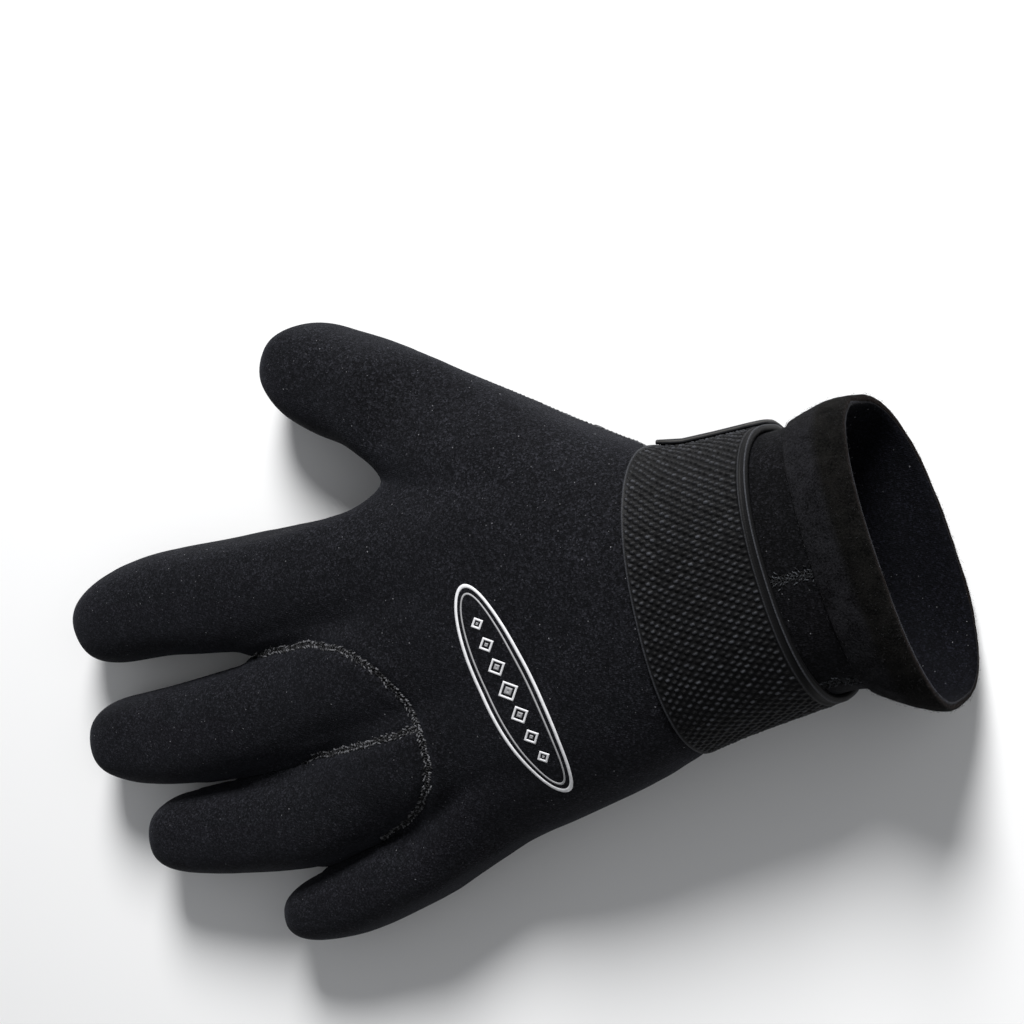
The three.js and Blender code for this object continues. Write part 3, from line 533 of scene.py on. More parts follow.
# what lies within the arch, in plan: round the two fingers' far ends and back
fingers_end = np.array([(-68, -54.6), (-80, -56.3), (-110, -56.3), (-145, -60), (-160, -30), (-155, 3), (-125, 3), (-104, 5.2)])
within = np.vstack([arch, fingers_end])
middle_line = np.vstack([[(-160, -29)], middle])
middle_half = np.vstack([middle_line, [(10, -18)], [(10, 60)], [(-170, 60)]])


polys2 = [list(map(int, q)) for q in quads2]
tags2 = list(map(int, tag2))


def tangent_move(P, N, dx, dy):
    """Moves in plan that stay on the skin."""
    d = np.stack([dx, dy, np.zeros_like(dx)], 1)
    flat = np.abs(N[:, 2]) > 0.35
    dz = -(N[:, 0] * dx + N[:, 1] * dy) / np.where(flat, N[:, 2], 1)
    d[:, 2] = np.where(flat, dz, 0)
    steep = d - N * (d * N).sum(1)[:, None]
    return P + np.where(flat[:, None], d, steep)


def weld(line, region, faces_in):
    """Draws the grid onto a seam so that no quad edge crosses it, then halves the quads it runs across."""
    global out2, in2
    n_out, n_in = vertex_normals(out2, quads2), vertex_normals(in2, quads2)
    ids = np.unique([v for f in faces_in for v in polys2[f]])
    d, close = plan_distance(out2[ids, :2], line)
    sign = np.where(inside(out2[ids, :2], region), 1.0, -1.0)
    sd = dict(zip(ids.tolist(), (d * sign).tolist()))
    near = dict(zip(ids.tolist(), close))
    edges = set()
    for f in faces_in:
        q = polys2[f]
        for i in range(len(q)):
            x, y = q[i], q[(i + 1) % len(q)]
            edges.add((min(x, y), max(x, y)))
    moves = []
    for x, y in edges:
        if sd[x] * sd[y] < 0:
            span = np.linalg.norm(out2[x, :2] - out2[y, :2])
            if abs(sd[x]) + abs(sd[y]) < 1.6 * span + 0.3:
                moves.append((min(abs(sd[x]), abs(sd[y])), x, y))
    moved = []
    for _, x, y in sorted(moves):
        if sd[x] * sd[y] >= 0:
            continue
        v = x if abs(sd[x]) < abs(sd[y]) else y
        sd[v] = 0.0
        moved.append(v)
    moved = np.array(sorted(set(moved)))
    step = np.array([near[v] for v in moved]) - out2[moved, :2]
    out2[moved] = tangent_move(out2[moved], n_out[moved], step[:, 0], step[:, 1])
    in2[moved] = tangent_move(in2[moved], n_in[moved], step[:, 0], step[:, 1])
    on = set(moved.tolist()) | {v for v in sd if abs(sd[v]) < 1e-6}
    halves = []
    side = {}
    for f in faces_in:
        q = polys2[f]
        s = [0 if v in on else np.sign(sd[v]) for v in q]
        if len(q) == 4 and max(s) > 0 and min(s) < 0:
            if s[0] == 0 and s[2] == 0:
                halves.append((f, [q[0], q[1], q[2]], s[1], [q[0], q[2], q[3]], s[3]))
                continue
            if s[1] == 0 and s[3] == 0:
                halves.append((f, [q[1], q[2], q[3]], s[2], [q[1], q[3], q[0]], s[0]))
                continue
        side[f] = 1 if sum(s) > 0 else -1 if sum(s) < 0 else 0
    for f in [f for f, v in side.items() if v == 0]:
        c = out2[polys2[f]].mean(0)[None, :2]
        side[f] = 1 if inside(c, region)[0] else -1
    for f, one, s1, two, s2 in halves:
        polys2[f] = one
        side[f] = 1 if s1 > 0 else -1
        polys2.append(two)
        tags2.append(tags2[f])
        side[len(polys2) - 1] = 1 if s2 > 0 else -1
    return side


back_faces = [f for f, t in enumerate(tags2) if t == BACK and out2[polys2[f], 0].max() < 0]
for f, v in weld(arch, within, back_faces).items():
    if v > 0:
        tags2[f] = RINGF
let_in = [f for f, t in enumerate(tags2) if t == RINGF]
for f, v in weld(middle_line, middle_half, let_in).items():
    if v > 0:
        tags2[f] = MIDDLE
# the neoprene is skived thin towards the open end
in2 = in2 + (out2 - in2) * (0.66 * np.clip((out2[:, 0] - 89) / 11, 0, 1) ** 1.2)[:, None]
ob3, quads3, tag3 = subdivided(out2, polys2, tags2, 1, limit=False)
quads3 = np.asarray(quads3)
N2 = len(out2)
print("skin faces", len(polys2), len(quads3))


def boundary_chains(quads, tag, wanted):
    """Chains of points along the edges between faces whose tags are a wanted pair."""
    edges = {}
    for f, q in enumerate(quads):
        for i in range(len(q)):
            a, b = int(q[i]), int(q[(i + 1) % len(q)])
            edges.setdefault((min(a, b), max(a, b)), []).append(int(tag[f]))
    links = {}
    for (a, b), t in edges.items():
        if len(t) == 2 and t[0] != t[1] and wanted(*sorted(t)):
            links.setdefault(a, []).append(b)
            links.setdefault(b, []).append(a)
    chains, seen = [], set()
    starts = [v for v, n in links.items() if len(n) != 2] + list(links)
    for s in starts:
        for nxt in links[s]:
            if (s, nxt) in seen:
                continue
            chain = [s]
            prev, cur = s, nxt
            while True:
                seen.add((prev, cur))
                seen.add((cur, prev))
                chain.append(cur)
                if cur == s or len(links[cur]) != 2:
                    break
                a, b = links[cur]
                prev, cur = cur, (b if a == prev else a)
                if (prev, cur) in seen:
                    break
            chains.append(chain)
    return chains


BACKS = {BACK, MIDDLE, RINGF}
palm_seam = boundary_chains(polys2, tags2, lambda a, b: PALM in (a, b) and (a in BACKS or b in BACKS))
gusset_seam = boundary_chains(polys2, tags2, lambda a, b: (a, b) == (CUFF, GUS))
arch_seam = boundary_chains(polys2, tags2, lambda a, b: a == BACK and b in (MIDDLE, RINGF))
middle_seam = boundary_chains(polys2, tags2, lambda a, b: (a, b) == (MIDDLE, RINGF))
for label, chains in (("palm", palm_seam), ("gusset", gusset_seam), ("arch", arch_seam), ("middle", middle_seam)):
    print(label, [len(c) for c in chains])

from mathutils.kdtree import KDTree


def distance_to(P, lines):
    """Distance of every point from the nearest point of some lines."""
    pts = np.vstack([resample(out2[c] if isinstance(c, list) else c, 0.6) for c in lines])
    tree = KDTree(len(pts))
    for i, p in enumerate(pts):
        tree.insert(p, i)
    tree.balance()
    return np.array([tree.find(p)[2] for p in P])


n3 = vertex_normals(ob3, quads3)
d_palm = distance_to(ob3, palm_seam)
d_arch = distance_to(ob3, [c for c in arch_seam + middle_seam if len(c) > 6])
d_gus = distance_to(ob3, gusset_seam)


def groove(d, depth, width, puff, at, wide):
    return -depth * np.exp(-((d / width) ** 2)) + puff * np.exp(-(((d - at) / wide) ** 2))


relief = groove(d_arch, 0.8, 1.2, 0.35, 3.5, 1.7)
relief += groove(d_palm, 0.45, 0.8, 0.12, 2.8, 1.5) * np.clip((ob3[:, 2] - 1.2) / 3, 0, 1)
relief += groove(d_gus, 0.4, 0.9, 0.1, 2.8, 1.5)
calm = 1 / (1 + np.exp((ob3[:, 0] - 45.5) / 1.2))
relief += calm * (0.4 * value_noise(ob3, 26, 3) + 0.13 * value_noise(ob3, 8, 5))
relief += 0.55 * np.exp(-(((ob3[:, 0] - 43.5) / 3.2) ** 2)) * calm
relief *= np.clip(ob3[:, 2] / 3.0, 0, 1)
ob3 = ob3 + n3 * relief[:, None]
FLOOR = 0.32  # the palm's skin, with its grip print between it and the floor
ob3[:, 2] = np.maximum(FLOOR, ob3[:, 2])


def close_gaps(P, N, quads, keep=0.12):
    """Side walls of two fingers that face each other across a narrow gap swell till they meet."""
    tree = BVHTree.FromPolygons([tuple(p) for p in P], [tuple(map(int, q)) for q in quads])
    grow = np.zeros(len(P))
    for i in np.flatnonzero((P[:, 0] < -22) & (np.abs(N[:, 2]) < 0.8) & (P[:, 2] > 1.5)):
        n = Vector(N[i])
        n.z *= 0.3
        n.normalize()
        _, m, _, g = tree.ray_cast(Vector(P[i]) + n * 0.05, n, 7.0)
        more = np.clip((P[i, 0] + 104) / 16, 0, 1) if abs(P[i, 1] + 29) < 10 else 0.0
        near, far = 1.7 + 2.6 * more, 2.5 + 3.6 * more
        if m is not None and m.dot(n) < -0.35:
            grow[i] = max(0.0, (g + 0.05 - keep) / 2) * np.clip((far - g) / (far - near), 0, 1)
    q = np.asarray(quads)
    for _ in range(3):
        total, count = np.zeros(len(P)), np.zeros(len(P))
        mean = grow[q].mean(1)
        for c in range(4):
            np.add.at(total, q[:, c], mean)
            np.add.at(count, q[:, c], 1)
        grow = np.minimum(np.maximum(grow, 0), total / np.maximum(1, count) * 1.25)
    flat = N.copy()
    flat[:, 2] *= 0.3
    return P + flat / np.maximum(1e-9, np.linalg.norm(flat, axis=1))[:, None] * grow[:, None]


ob3 = close_gaps(ob3, vertex_normals(ob3, quads3), quads3)
out2 = ob3[:N2].copy()
SKIN = BVHTree.FromPolygons([tuple(p) for p in ob3], [tuple(map(int, q)) for q in quads3])


def mid_points(quads, n2):
    """The point in the middle of each coarse edge, by its two ends."""
    links = {}
    q = np.asarray(quads)
    for i in range(4):
        a, b = q[:, i], q[:, (i + 1) % 4]
        for x, y in ((a, b), (b, a)):
            m = (x >= n2) & (y < n2)
            for s, t in zip(x[m], y[m]):
                links.setdefault(int(s), set()).add(int(t))
    return {tuple(sorted(v)): m for m, v in links.items() if len(v) == 2}


MIDS = mid_points(quads3, N2)


def panel(name, tag, pull=0.1):
    """One stitched panel as a closed sheet: fine outside, coarser inside, and its cut edges."""
    f3 = quads3[tag3 == tag]
    f2 = [p for p, t in zip(polys2, tags2) if t == tag]
    used3, inv3 = np.unique(f3, return_inverse=True)
    used2 = np.unique([v for p in f2 for v in p])
    at3 = {int(v): i for i, v in enumerate(used3)}
    at2 = {int(v): i + len(used3) for i, v in enumerate(used2)}
    outer, inner_ = ob3[used3].copy(), in2[used2].copy()
    edges = {}
    for fi, q in enumerate(f2):
        for i in range(len(q)):
            edges[(q[i], q[(i + 1) % len(q)])] = fi
    rim = [e for e in edges if (e[1], e[0]) not in edges]
    push_o, push_i = {}, {}
    for a, b in rim:
        q = f2[edges[(a, b)]]
        for pts, push in ((out2, push_o), (in2, push_i)):
            along = pts[b] - pts[a]
            along = along / max(1e-9, np.linalg.norm(along))
            inward = pts[q].mean(0) - pts[a]
            inward = inward - along * (inward @ along)
            inward = inward / max(1e-9, np.linalg.norm(inward))
            for v in (a, b, MIDS[tuple(sorted((a, b)))]):
                push[v] = push.get(v, 0) + inward
    for v, d in push_o.items():
        if v in at3 and ob3[v][0] < 98.5:
            outer[at3[v]] += d / max(1e-9, np.linalg.norm(d)) * pull
    for v, d in push_i.items():
        if v < N2 and v in at2 and in2[v][0] < 98.5:
            inner_[at2[v] - len(used3)] += d / max(1e-9, np.linalg.norm(d)) * pull
    polys = [list(q) for q in inv3.reshape(f3.shape)]
    n_outer = len(polys)
    polys += [[at2[v] for v in q[::-1]] for q in f2]
    n_inner = len(polys)
    for a, b in rim:
        m = MIDS[tuple(sorted((a, b)))]
        polys.append([at3[b], at3[m], at3[a], at2[a], at2[b]])
    ob = mesh_object(name, np.vstack([outer, inner_]) + SHIFT, polys)
    part = np.zeros(len(polys), int)
    part[n_outer:n_inner] = 1
    part[n_inner:] = 2
    ob.data.polygons.foreach_set("material_index", part)
    return ob


PIECES = {
    "glove_back": (BACK, "back_panel"),
    "glove_palm": (PALM, "palm_panel"),
    "middle_finger_back": (MIDDLE, "middle_finger_panel"),
    "ring_finger_back": (RINGF, "ring_finger_panel"),
    "cuff": (CUFF, "cuff_body"),
    "cuff_gusset_panel": (GUS, "cuff_gusset"),
}
made = {}
for name, (tag, node) in PIECES.items():
    made[name] = panel(name, tag)
    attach(made[name], "root")
    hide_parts(node)


# ------------------------------------------------------------------ what is sewn, woven and printed on it
def unit(v):
    return v / np.maximum(1e-12, np.linalg.norm(v, axis=-1, keepdims=True))


def on_skin(P):
    """The nearest skin point to each point, and the skin's normal there."""
    at, nor = np.empty_like(P), np.empty_like(P)
    for i, p in enumerate(P):
        q, n, _, _ = SKIN.find_nearest(Vector(p))
        at[i], nor[i] = q, n
    return at, nor


def tubes(P, U, r, sides=5):
    """Closed round threads along many lines of equally many points, U pointing up from each."""
    n, m, _ = P.shape
    T = unit(np.gradient(P, axis=1))
    S = unit(np.cross(T, U))
    W = np.cross(S, T)
    r = np.broadcast_to(r, (n, m))[..., None, None]
    a = np.arange(sides) * 2 * np.pi / sides
    ring = P[:, :, None] + r * (np.cos(a)[:, None] * S[:, :, None] + np.sin(a)[:, None] * W[:, :, None])
    idx = np.arange(n * m * sides).reshape(n, m, sides)
    nxt = np.roll(idx, -1, axis=2)
    quads = np.stack([idx[:, :-1], idx[:, 1:], nxt[:, 1:], nxt[:, :-1]], -1).reshape(-1, 4)
    caps = np.concatenate([idx[:, 0], idx[:, -1, ::-1]])
    return ring.reshape(-1, 3), quads.tolist() + caps.tolist()


def paint(ob, **values):
    """Float attributes of the points, for the materials."""
    for k, v in values.items():
        at = ob.data.attributes.new(k, "FLOAT", "POINT")
        at.data.foreach_set("value", np.asarray(v, np.float32))


def seam_line(chain, step):
    """A seam as even steps: points on the skin, and the directions up and across."""
    line = resample(out2[chain] if isinstance(chain, list) else chain, step)
    for _ in range(3):
        line[1:-1] = 0.25 * line[:-2] + 0.5 * line[1:-1] + 0.25 * line[2:]
    _, N = on_skin(line)
    for _ in range(3):
        N[1:-1] = unit(N[:-2] + 2 * N[1:-1] + N[2:])
    T = unit(np.gradient(line, axis=0))
    B = unit(np.cross(N, T))
    return line, unit(np.cross(T, B)), B


def flatlock(chains, width, pitch, r, run=2.0, sides=5, points=7, rise=(0.34, 0.16), sink=0.14, fade=0.5):
    """The crossing threads of a flatlock seam: each runs slantwise over it, run pitches long."""
    Ps, Us, tone = [], [], []
    per = 4
    for chain in chains:
        line, N, B = seam_line(chain, pitch / per)
        T = unit(np.gradient(line, axis=0))
        reach = int(round(run * per))
        n = (len(line) - 1 - reach) // per
        if n < 2:
            continue
        start = np.arange(n) * per
        for strand, lift in ((1.0, rise[0]), (-1.0, rise[1])):
            i0, i1 = start, start + reach
            w0 = width / 2 * (1 + 0.12 * RNG.standard_normal(n))
            w1 = width / 2 * (1 + 0.12 * RNG.standard_normal(n))
            j = 0.10 * pitch * RNG.standard_normal((2, n))
            a, _ = on_skin(line[i0] + B[i0] * (strand * w0)[:, None] + T[i0] * j[0][:, None])
            b, _ = on_skin(line[i1] - B[i1] * (strand * w1)[:, None] + T[i1] * j[1][:, None])
            t = np.linspace(0, 1, points)
            at = np.clip(np.round(i0[:, None] + (i1 - i0)[:, None] * t[None]).astype(int), 0, len(line) - 1)
            up = N[at]
            hump = (lift + sink) * np.sin(np.pi * t) ** 0.6 - sink + 0.05 * np.cos(6 * np.pi * t) * strand
            P = a[:, None] * (1 - t)[None, :, None] + b[:, None] * t[None, :, None] + up * hump[None, :, None]
            own = np.clip(0.5 + 0.28 * RNG.standard_normal(n), 0.05, 1)
            knots = 0.55 + 0.45 * np.cos(4 * np.pi * (t - 0.5)) if run >= 1.5 else np.ones(points)
            Ps.append(P)
            Us.append(up)
            tone.append(np.clip(own[:, None] * (1 - fade + fade * 2 * knots[None]), 0, 1.4))
    P, U, tone = np.concatenate(Ps), np.concatenate(Us), np.concatenate(tone)
    taper = np.interp(np.linspace(0, 1, points), [0, 0.2, 0.8, 1], [0.75, 1, 1, 0.75])
    V, F = tubes(P, U, r * taper[None, :], sides)
    V[:, 2] = np.maximum(0.03, V[:, 2])
    return V, F, np.repeat(tone.ravel(), sides)


def twisted(chains, width, pitch, r, length=1.0, rows=(-0.33, 0.33), slant=0.55, cross=0.12, sides=5, points=5, sink=0.12):
    """A fuzzy cover stitch: ropes of short thread grains on both sides of the seam and dark threads across."""
    Ps, Us, tone, thick = [], [], [], []
    t = np.linspace(0, 1, points)
    arc = np.sin(np.pi * t) ** 0.7
    for chain in chains:
        line, N, B = seam_line(chain, 0.25)
        T = unit(np.gradient(line, axis=0))
        long_ = (len(line) - 1) * 0.25
        for row in rows:
            n = max(2, int(long_ / pitch))
            s0 = (np.arange(n) + 0.5 + 0.18 * RNG.standard_normal(n)) * long_ / n
            i = np.clip((s0 / 0.25).astype(int), 0, len(line) - 1)
            off = row * width + 0.13 * width * RNG.standard_normal(n)
            ang = np.sign(row if row else 1.0) * slant + 0.38 * RNG.standard_normal(n)
            half = length / 2 * RNG.uniform(0.65, 1.25, n)
            d = T[i] * np.cos(ang)[:, None] + B[i] * np.sin(ang)[:, None]
            c, up = on_skin(line[i] + B[i] * off[:, None])
            lift = RNG.uniform(0.16, 0.42, n)
            P = c[:, None] + d[:, None] * (half[:, None] * (2 * t - 1)[None])[..., None]
            P = P + up[:, None] * ((lift[:, None] + sink) * arc[None] - sink)[..., None]
            Ps.append(P)
            Us.append(np.broadcast_to(up[:, None], P.shape))
            tone.append(np.clip(RNG.uniform(0.0, 1.15, n) ** 1.4, 0.02, 1.2))
            thick.append(r * RNG.uniform(0.75, 1.2, n))
        n = max(2, int(long_ / (pitch * 1.3)))
        s0 = (np.arange(n) + 0.5) * long_ / n
        for way in (1.0, -1.0):
            i = np.clip((s0 / 0.25).astype(int), 0, len(line) - 1)
            j = np.clip(((s0 + pitch * 0.9) / 0.25).astype(int), 0, len(line) - 1)
            e0, _ = on_skin(line[i] - B[i] * way * width * 0.42)
            e1, _ = on_skin(line[j] + B[j] * way * width * 0.42)
            P = e0[:, None] * (1 - t)[None, :, None] + e1[:, None] * t[None, :, None]
            P = P + N[i][:, None] * ((0.10 + sink) * arc - sink)[None, :, None]
            Ps.append(P)
            Us.append(np.broadcast_to(N[i][:, None], P.shape))
            tone.append(np.clip(RNG.normal(cross, 0.10, n), 0, 0.5))
            thick.append(np.full(n, r * 0.62))
    P, U, tone, thick = (np.concatenate(x) for x in (Ps, Us, tone, thick))
    taper = np.interp(t, [0, 0.25, 0.75, 1], [0.6, 1, 1, 0.6])
    V, F = tubes(P, U, thick[:, None] * taper[None, :], sides)
    V[:, 2] = np.maximum(0.03, V[:, 2])
    return V, F, np.repeat(tone, points * sides)


def thread_piece(name, chains, how, **values):
    V, F, tone = how(chains, **values)
    ob = mesh_object(name, V + SHIFT, F)
    paint(ob, tone=tone)
    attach(ob, "root")
    made[name] = ob
    print(name, len(F))


long_ones = [c for c in arch_seam if len(c) > 8]
for c in middle_seam:
    if len(c) > 8:  # it stops short of the crotch between the two fingers
        near_end = min(out2[v][0] for v in c) + 2.5
        long_ones.append([v for v in c if out2[v][0] > near_end])
thread_piece("finger_panel_stitches", long_ones, twisted, width=2.5, pitch=0.58, r=0.205, length=1.0)

# the seam across the heel of the palm, where the printed panel ends short of the strap
_rim = np.vstack([out2[c] for c in palm_seam if len(c) > 8])
_rim = _rim[np.abs(_rim[:, 0] - 12) < 8]
HEEL_Y0, HEEL_Y1 = _rim[:, 1].min(), _rim[:, 1].max()


def heel_end(y):
    """How far the printed panel reaches towards the wrist, at y."""
    t = np.clip(np.abs(2 * (y - HEEL_Y0) / (HEEL_Y1 - HEEL_Y0) - 1), 0, 1)
    return 10 + 28 * (1 - t**3.4) ** 0.8


heel = []
for a_ in np.linspace(-np.pi / 2, np.pi / 2, 160):
    y_ = (HEEL_Y0 + HEEL_Y1) / 2 + (HEEL_Y1 - HEEL_Y0) / 2 * 0.985 * np.sin(a_)
    p_, n_, _, _ = SKIN.ray_cast(Vector((heel_end(y_), y_, -5)), Vector((0, 0, 1)))
    if p_ is not None and n_[2] < -0.25:
        heel.append(p_)
heel = np.array(heel)
print("heel seam", len(heel), HEEL_Y0, HEEL_Y1)
thread_piece("side_stitches", [c for c in palm_seam if len(c) > 8] + [heel], flatlock, width=2.1, pitch=1.35, r=0.14, sides=4, points=5, run=1.6)
thread_piece("gusset_stitches", [c for c in gusset_seam if len(c) > 5], twisted, width=3.0, pitch=0.5, r=0.13, length=0.9, rows=(-0.36, -0.12, 0.12, 0.36))


# ---- bands round the wrist
RING_COUNT = len(RINGS[0])


def ring_points(x, u):
    """Points of the trunk's section whose thumb edge is at x, at ring places u."""
    j = 0
    while j + 2 < len(TRUNK) and TRUNK[j + 1][0] > x:
        j += 1
    t = (TRUNK[j][0] - x) / (TRUNK[j][0] - TRUNK[j + 1][0])
    R = CAGE[RINGS[j]] * (1 - t) + CAGE[RINGS[j + 1]] * t
    i = np.floor(u).astype(int)
    f = (u - i)[:, None]
    p0, p1, p2, p3 = (R[(i + k) % RING_COUNT] for k in (-1, 0, 1, 2))
    return 0.5 * (2 * p1 + (p2 - p0) * f + (2 * p0 - 5 * p1 + 4 * p2 - p3) * f * f + (3 * p1 - p0 - 3 * p2 + p3) * f**3)


def ring_out(x, u):
    """The outward direction there, square to the wrist."""
    e = 0.35
    t = ring_points(x, u + e) - ring_points(x, u - e)
    n = unit(np.stack([np.zeros(len(u)), t[:, 2], -t[:, 1]], 1))
    c = ring_points(x, np.arange(RING_COUNT).astype(float)).mean(0)
    sign = np.sign(((ring_points(x, u) - c) * n).sum())
    return n * sign


def even_places(x, count, height, u0=0.0, u1=None):
    """Ring places evenly spaced along the band's own surface."""
    closed = u1 is None
    u = np.linspace(u0, RING_COUNT if closed else u1, 2400)
    P = ring_points(x, u) + ring_out(x, u) * height
    s = np.concatenate([[0], np.cumsum(np.linalg.norm(np.diff(P, axis=0), axis=1))])
    return np.interp(np.linspace(0, s[-1], count + (1 if closed else 0))[: count], s, u), s[-1]


def grid_quads(rows, cols, closed):
    idx = np.arange(rows * cols).reshape(rows, cols)
    nxt = np.roll(idx, -1, axis=1)
    a, b = (idx, nxt) if closed else (idx[:, :-1], idx[:, 1:])
    return np.stack([a[:-1], b[:-1], b[1:], a[1:]], -1).reshape(-1, 4)


def outward(V, F):
    """Faces turned so that the closed mesh's volume is positive."""
    vol = 0.0
    for f in F[:: max(1, len(F) // 6000)]:
        p = V[f]
        for i in range(1, len(f) - 1):
            vol += np.dot(p[0], np.cross(p[i], p[i + 1]))
    return F if vol > 0 else [f[::-1] for f in F]


def woven_strap():
    front, width = 48.3, 31.5
    _, around = even_places(64, 10, 2.2)
    rows = 2 * int(round(around / 0.97 / 2))
    per = 4
    n = rows * per
    u, _ = even_places(64, n, 2.2)
    pa = 2.68
    a_weave = np.arange(1.3, 28.95, pa / 8)
    a = np.concatenate([[0, 0.12, 0.35, 0.6, 0.85, 1.1], a_weave, [29.05, 29.2, 29.4, 29.5, 30.0, 30.6, 30.7, 30.85, 31.05, 31.2, 31.35, width]])
    k = np.arange(n)
    row = (k + per // 2) // per
    v = (k - row * per) * (0.97 / per) / 0.45
    H = np.zeros((len(a), n))
    lift = np.zeros((len(a), n))
    slip = np.clip(0.13 * RNG.standard_normal(rows), -0.25, 0.25)
    height_of = RNG.uniform(0.72, 1.0, (rows + 1, 16))
    # each float's random tone, spread wide: partly the yarn's own variation, partly painted highlights on single floats
    tone_and_highlight_of = np.clip(RNG.normal(0.5, 0.24, (rows + 1, 16)), 0.10, 1.3)
    for i, x in enumerate(a):
        edge = min(1.0, x / 0.35, (width - x) / 0.4)
        base = 0.35 + 1.55 * (0.62 + 0.38 * np.sqrt(max(0.0, 1 - (1 - edge) ** 2)))
        h = np.full(n, base)
        tone = np.zeros(n)
        if 1.2 < x < 29.0:
            off = np.where(row % 2 == 0, 0.0, pa / 2)
            q = (x - 1.3 - off - slip[row % rows]) / pa
            col = np.round(q).astype(int)
            w = (q - col) * pa / 0.60
            g = np.sqrt(np.clip(1 - np.abs(w) ** 2.2, 0, 1)) * np.sqrt(np.clip(1 - v**2, 0, 1))
            r_ = row % rows
            g = g * height_of[r_, col % 16]
            h = base - 0.22 + 0.55 * g
            # the float's colour follows its height: grey-blue thread on a dark ground, with painted highlight on the
            # crown and painted shade in the gaps
            tone = g * tone_and_highlight_of[r_, col % 16]
        elif 0.3 < x < 0.7:
            h = base + 0.16
            tone = np.full(n, 0.5)
        elif 29.15 <= x <= 29.45:
            h = base + 0.12
            tone = np.full(n, 0.34)
        elif 30.8 <= x <= 31.1:
            h = base + 0.16
            tone = np.full(n, 0.66)
        elif x > 29.45:
            h = base - 0.3
        H[i], lift[i] = h, tone
    V = []
    for i, x in enumerate(a):
        V.append(ring_points(front + x, u) + ring_out(front + x, u) * H[i][:, None])
    A = len(a)
    F = grid_quads(A, n, True).tolist()
    low = np.arange(0, n, per)
    m = len(low)
    for x in (0.15, width / 2, width - 0.15):
        V.append(ring_points(front + x, u[low]) + ring_out(front + x, u[low]) * 0.3)
    base_i = A * n
    F += (grid_quads(3, m, True)[:, ::-1] + base_i).tolist()
    for c in range(m):
        top = [(low[c] + t) % n for t in range(per + 1)]
        F.append([int(t) for t in top[::-1]] + [base_i + c, base_i + (c + 1) % m])
        F.append([int((A - 1) * n + t) for t in top] + [base_i + 2 * m + (c + 1) % m, base_i + 2 * m + c])
    V = np.vstack(V)
    ob = mesh_object("woven_strap", V + SHIFT, outward(V, F))
    paint(ob, lift=np.concatenate([lift.ravel(), np.zeros(3 * m)]))
    return ob


made["woven_strap"] = woven_strap()
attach(made["woven_strap"], "root")
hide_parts("wrist_strap")


def hook_tab():
    """The strap's end on the palm side: a smooth border round a fine twill."""
    front, width, low, thick = 49.1, 29.9, 2.25, 1.2
    n, A = 210, 92
    u, long_ = even_places(64, n, 3.5, 32.0, 53.0)
    s = np.linspace(0, long_, n)
    a = np.linspace(0, 1, A)
    corner = 5.0
    end = np.clip(long_ - s, 0, corner)
    inset = corner - np.sqrt(np.maximum(0, corner**2 - (corner - end) ** 2))
    X = inset[None] + a[:, None] * (width - 2 * inset[None])
    rim = np.minimum(np.minimum(X - inset[None], width - inset[None] - X), np.minimum(s, long_ - s)[None] + 0 * X)
    rim = np.maximum(0, rim)
    twill = 0.5 + 0.5 * np.cos(2 * np.pi * (X * 0.8 + s[None]) / 1.35)
    inside_ = np.clip((rim - 2.7) / 0.4, 0, 1)
    h = thick * (0.6 + 0.4 * np.sqrt(np.clip(1 - (1 - np.clip(rim / 0.7, 0, 1)) ** 2, 0, 1)))
    h = h - 0.22 * inside_ + 0.16 * inside_ * twill - 0.18 * np.exp(-(((rim - 2.4) / 0.25) ** 2))
    V = np.empty((2, A, n, 3))
    xs = np.linspace(0, width, 60)
    base = np.stack([ring_points(front + x, u) for x in xs])
    dirs = np.stack([ring_out(front + x, u) for x in xs])
    k = np.clip(X / width * 59, 0, 58.999)
    i = np.floor(k).astype(int)
    f = (k - i)[..., None]
    cols = np.arange(n)[None].repeat(A, 0)
    P = base[i, cols] * (1 - f) + base[i + 1, cols] * f
    D = unit(dirs[i, cols] * (1 - f) + dirs[i + 1, cols] * f)
    V[0] = P + D * (low + h)[..., None]
    V[1] = P + D * low
    V = V.reshape(-1, 3)
    V[:, 2] = np.maximum(0.03, V[:, 2])
    q = grid_quads(A, n, False)
    F = q.tolist() + (q[:, ::-1] + A * n).tolist()
    ring = [r * n for r in range(A)] + [(A - 1) * n + c for c in range(1, n)]
    ring += [r * n + n - 1 for r in range(A - 2, -1, -1)] + [c for c in range(n - 2, 0, -1)]
    for x, y in zip(ring, ring[1:] + ring[:1]):
        F.append([x, y, y + A * n, x + A * n])
    ob = mesh_object("hook_tab", V + SHIFT, outward(V, F))
    # a pale band on the tab's outermost rim: painted highlight of light caught along its edge
    tab_rim_highlight = np.clip((0.45 - rim) / 0.25, 0, 1)
    paint(ob, lift=np.concatenate([np.maximum(0.6 * inside_ * twill, tab_rim_highlight).ravel(), np.zeros(A * n)]), rim=np.concatenate([rim.ravel(), rim.ravel()]))
    return ob


made["hook_tab"] = hook_tab()
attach(made["hook_tab"], "root")
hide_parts("strap_tab")

HEM_PROFILE = [
    # x on the thumb side, height above the neoprene: round the band from its lower front edge
    (86.6, 0.3), (86.5, 0.45), (86.5, 0.65), (86.6, 0.85), (86.85, 1.0), (87.4, 1.12), (88.3, 1.24), (89.3, 1.36),
    (90.3, 1.5), (91.3, 1.63), (92.3, 1.74), (93.3, 1.83), (94.3, 1.9), (95.3, 1.94), (96.3, 1.94), (97.3, 1.92),
    (98.3, 1.88), (99.3, 1.75), (100.2, 1.58), (101.0, 1.4), (101.6, 1.2), (102.05, 0.98), (102.3, 0.7), (102.42, 0.35),
    (102.42, -0.1), (102.35, -0.5), (102.25, -0.62), (102.15, -0.45), (102.1, -0.15), (102.1, 0.15), (101.4, 0.3), (94.5, 0.3),
]


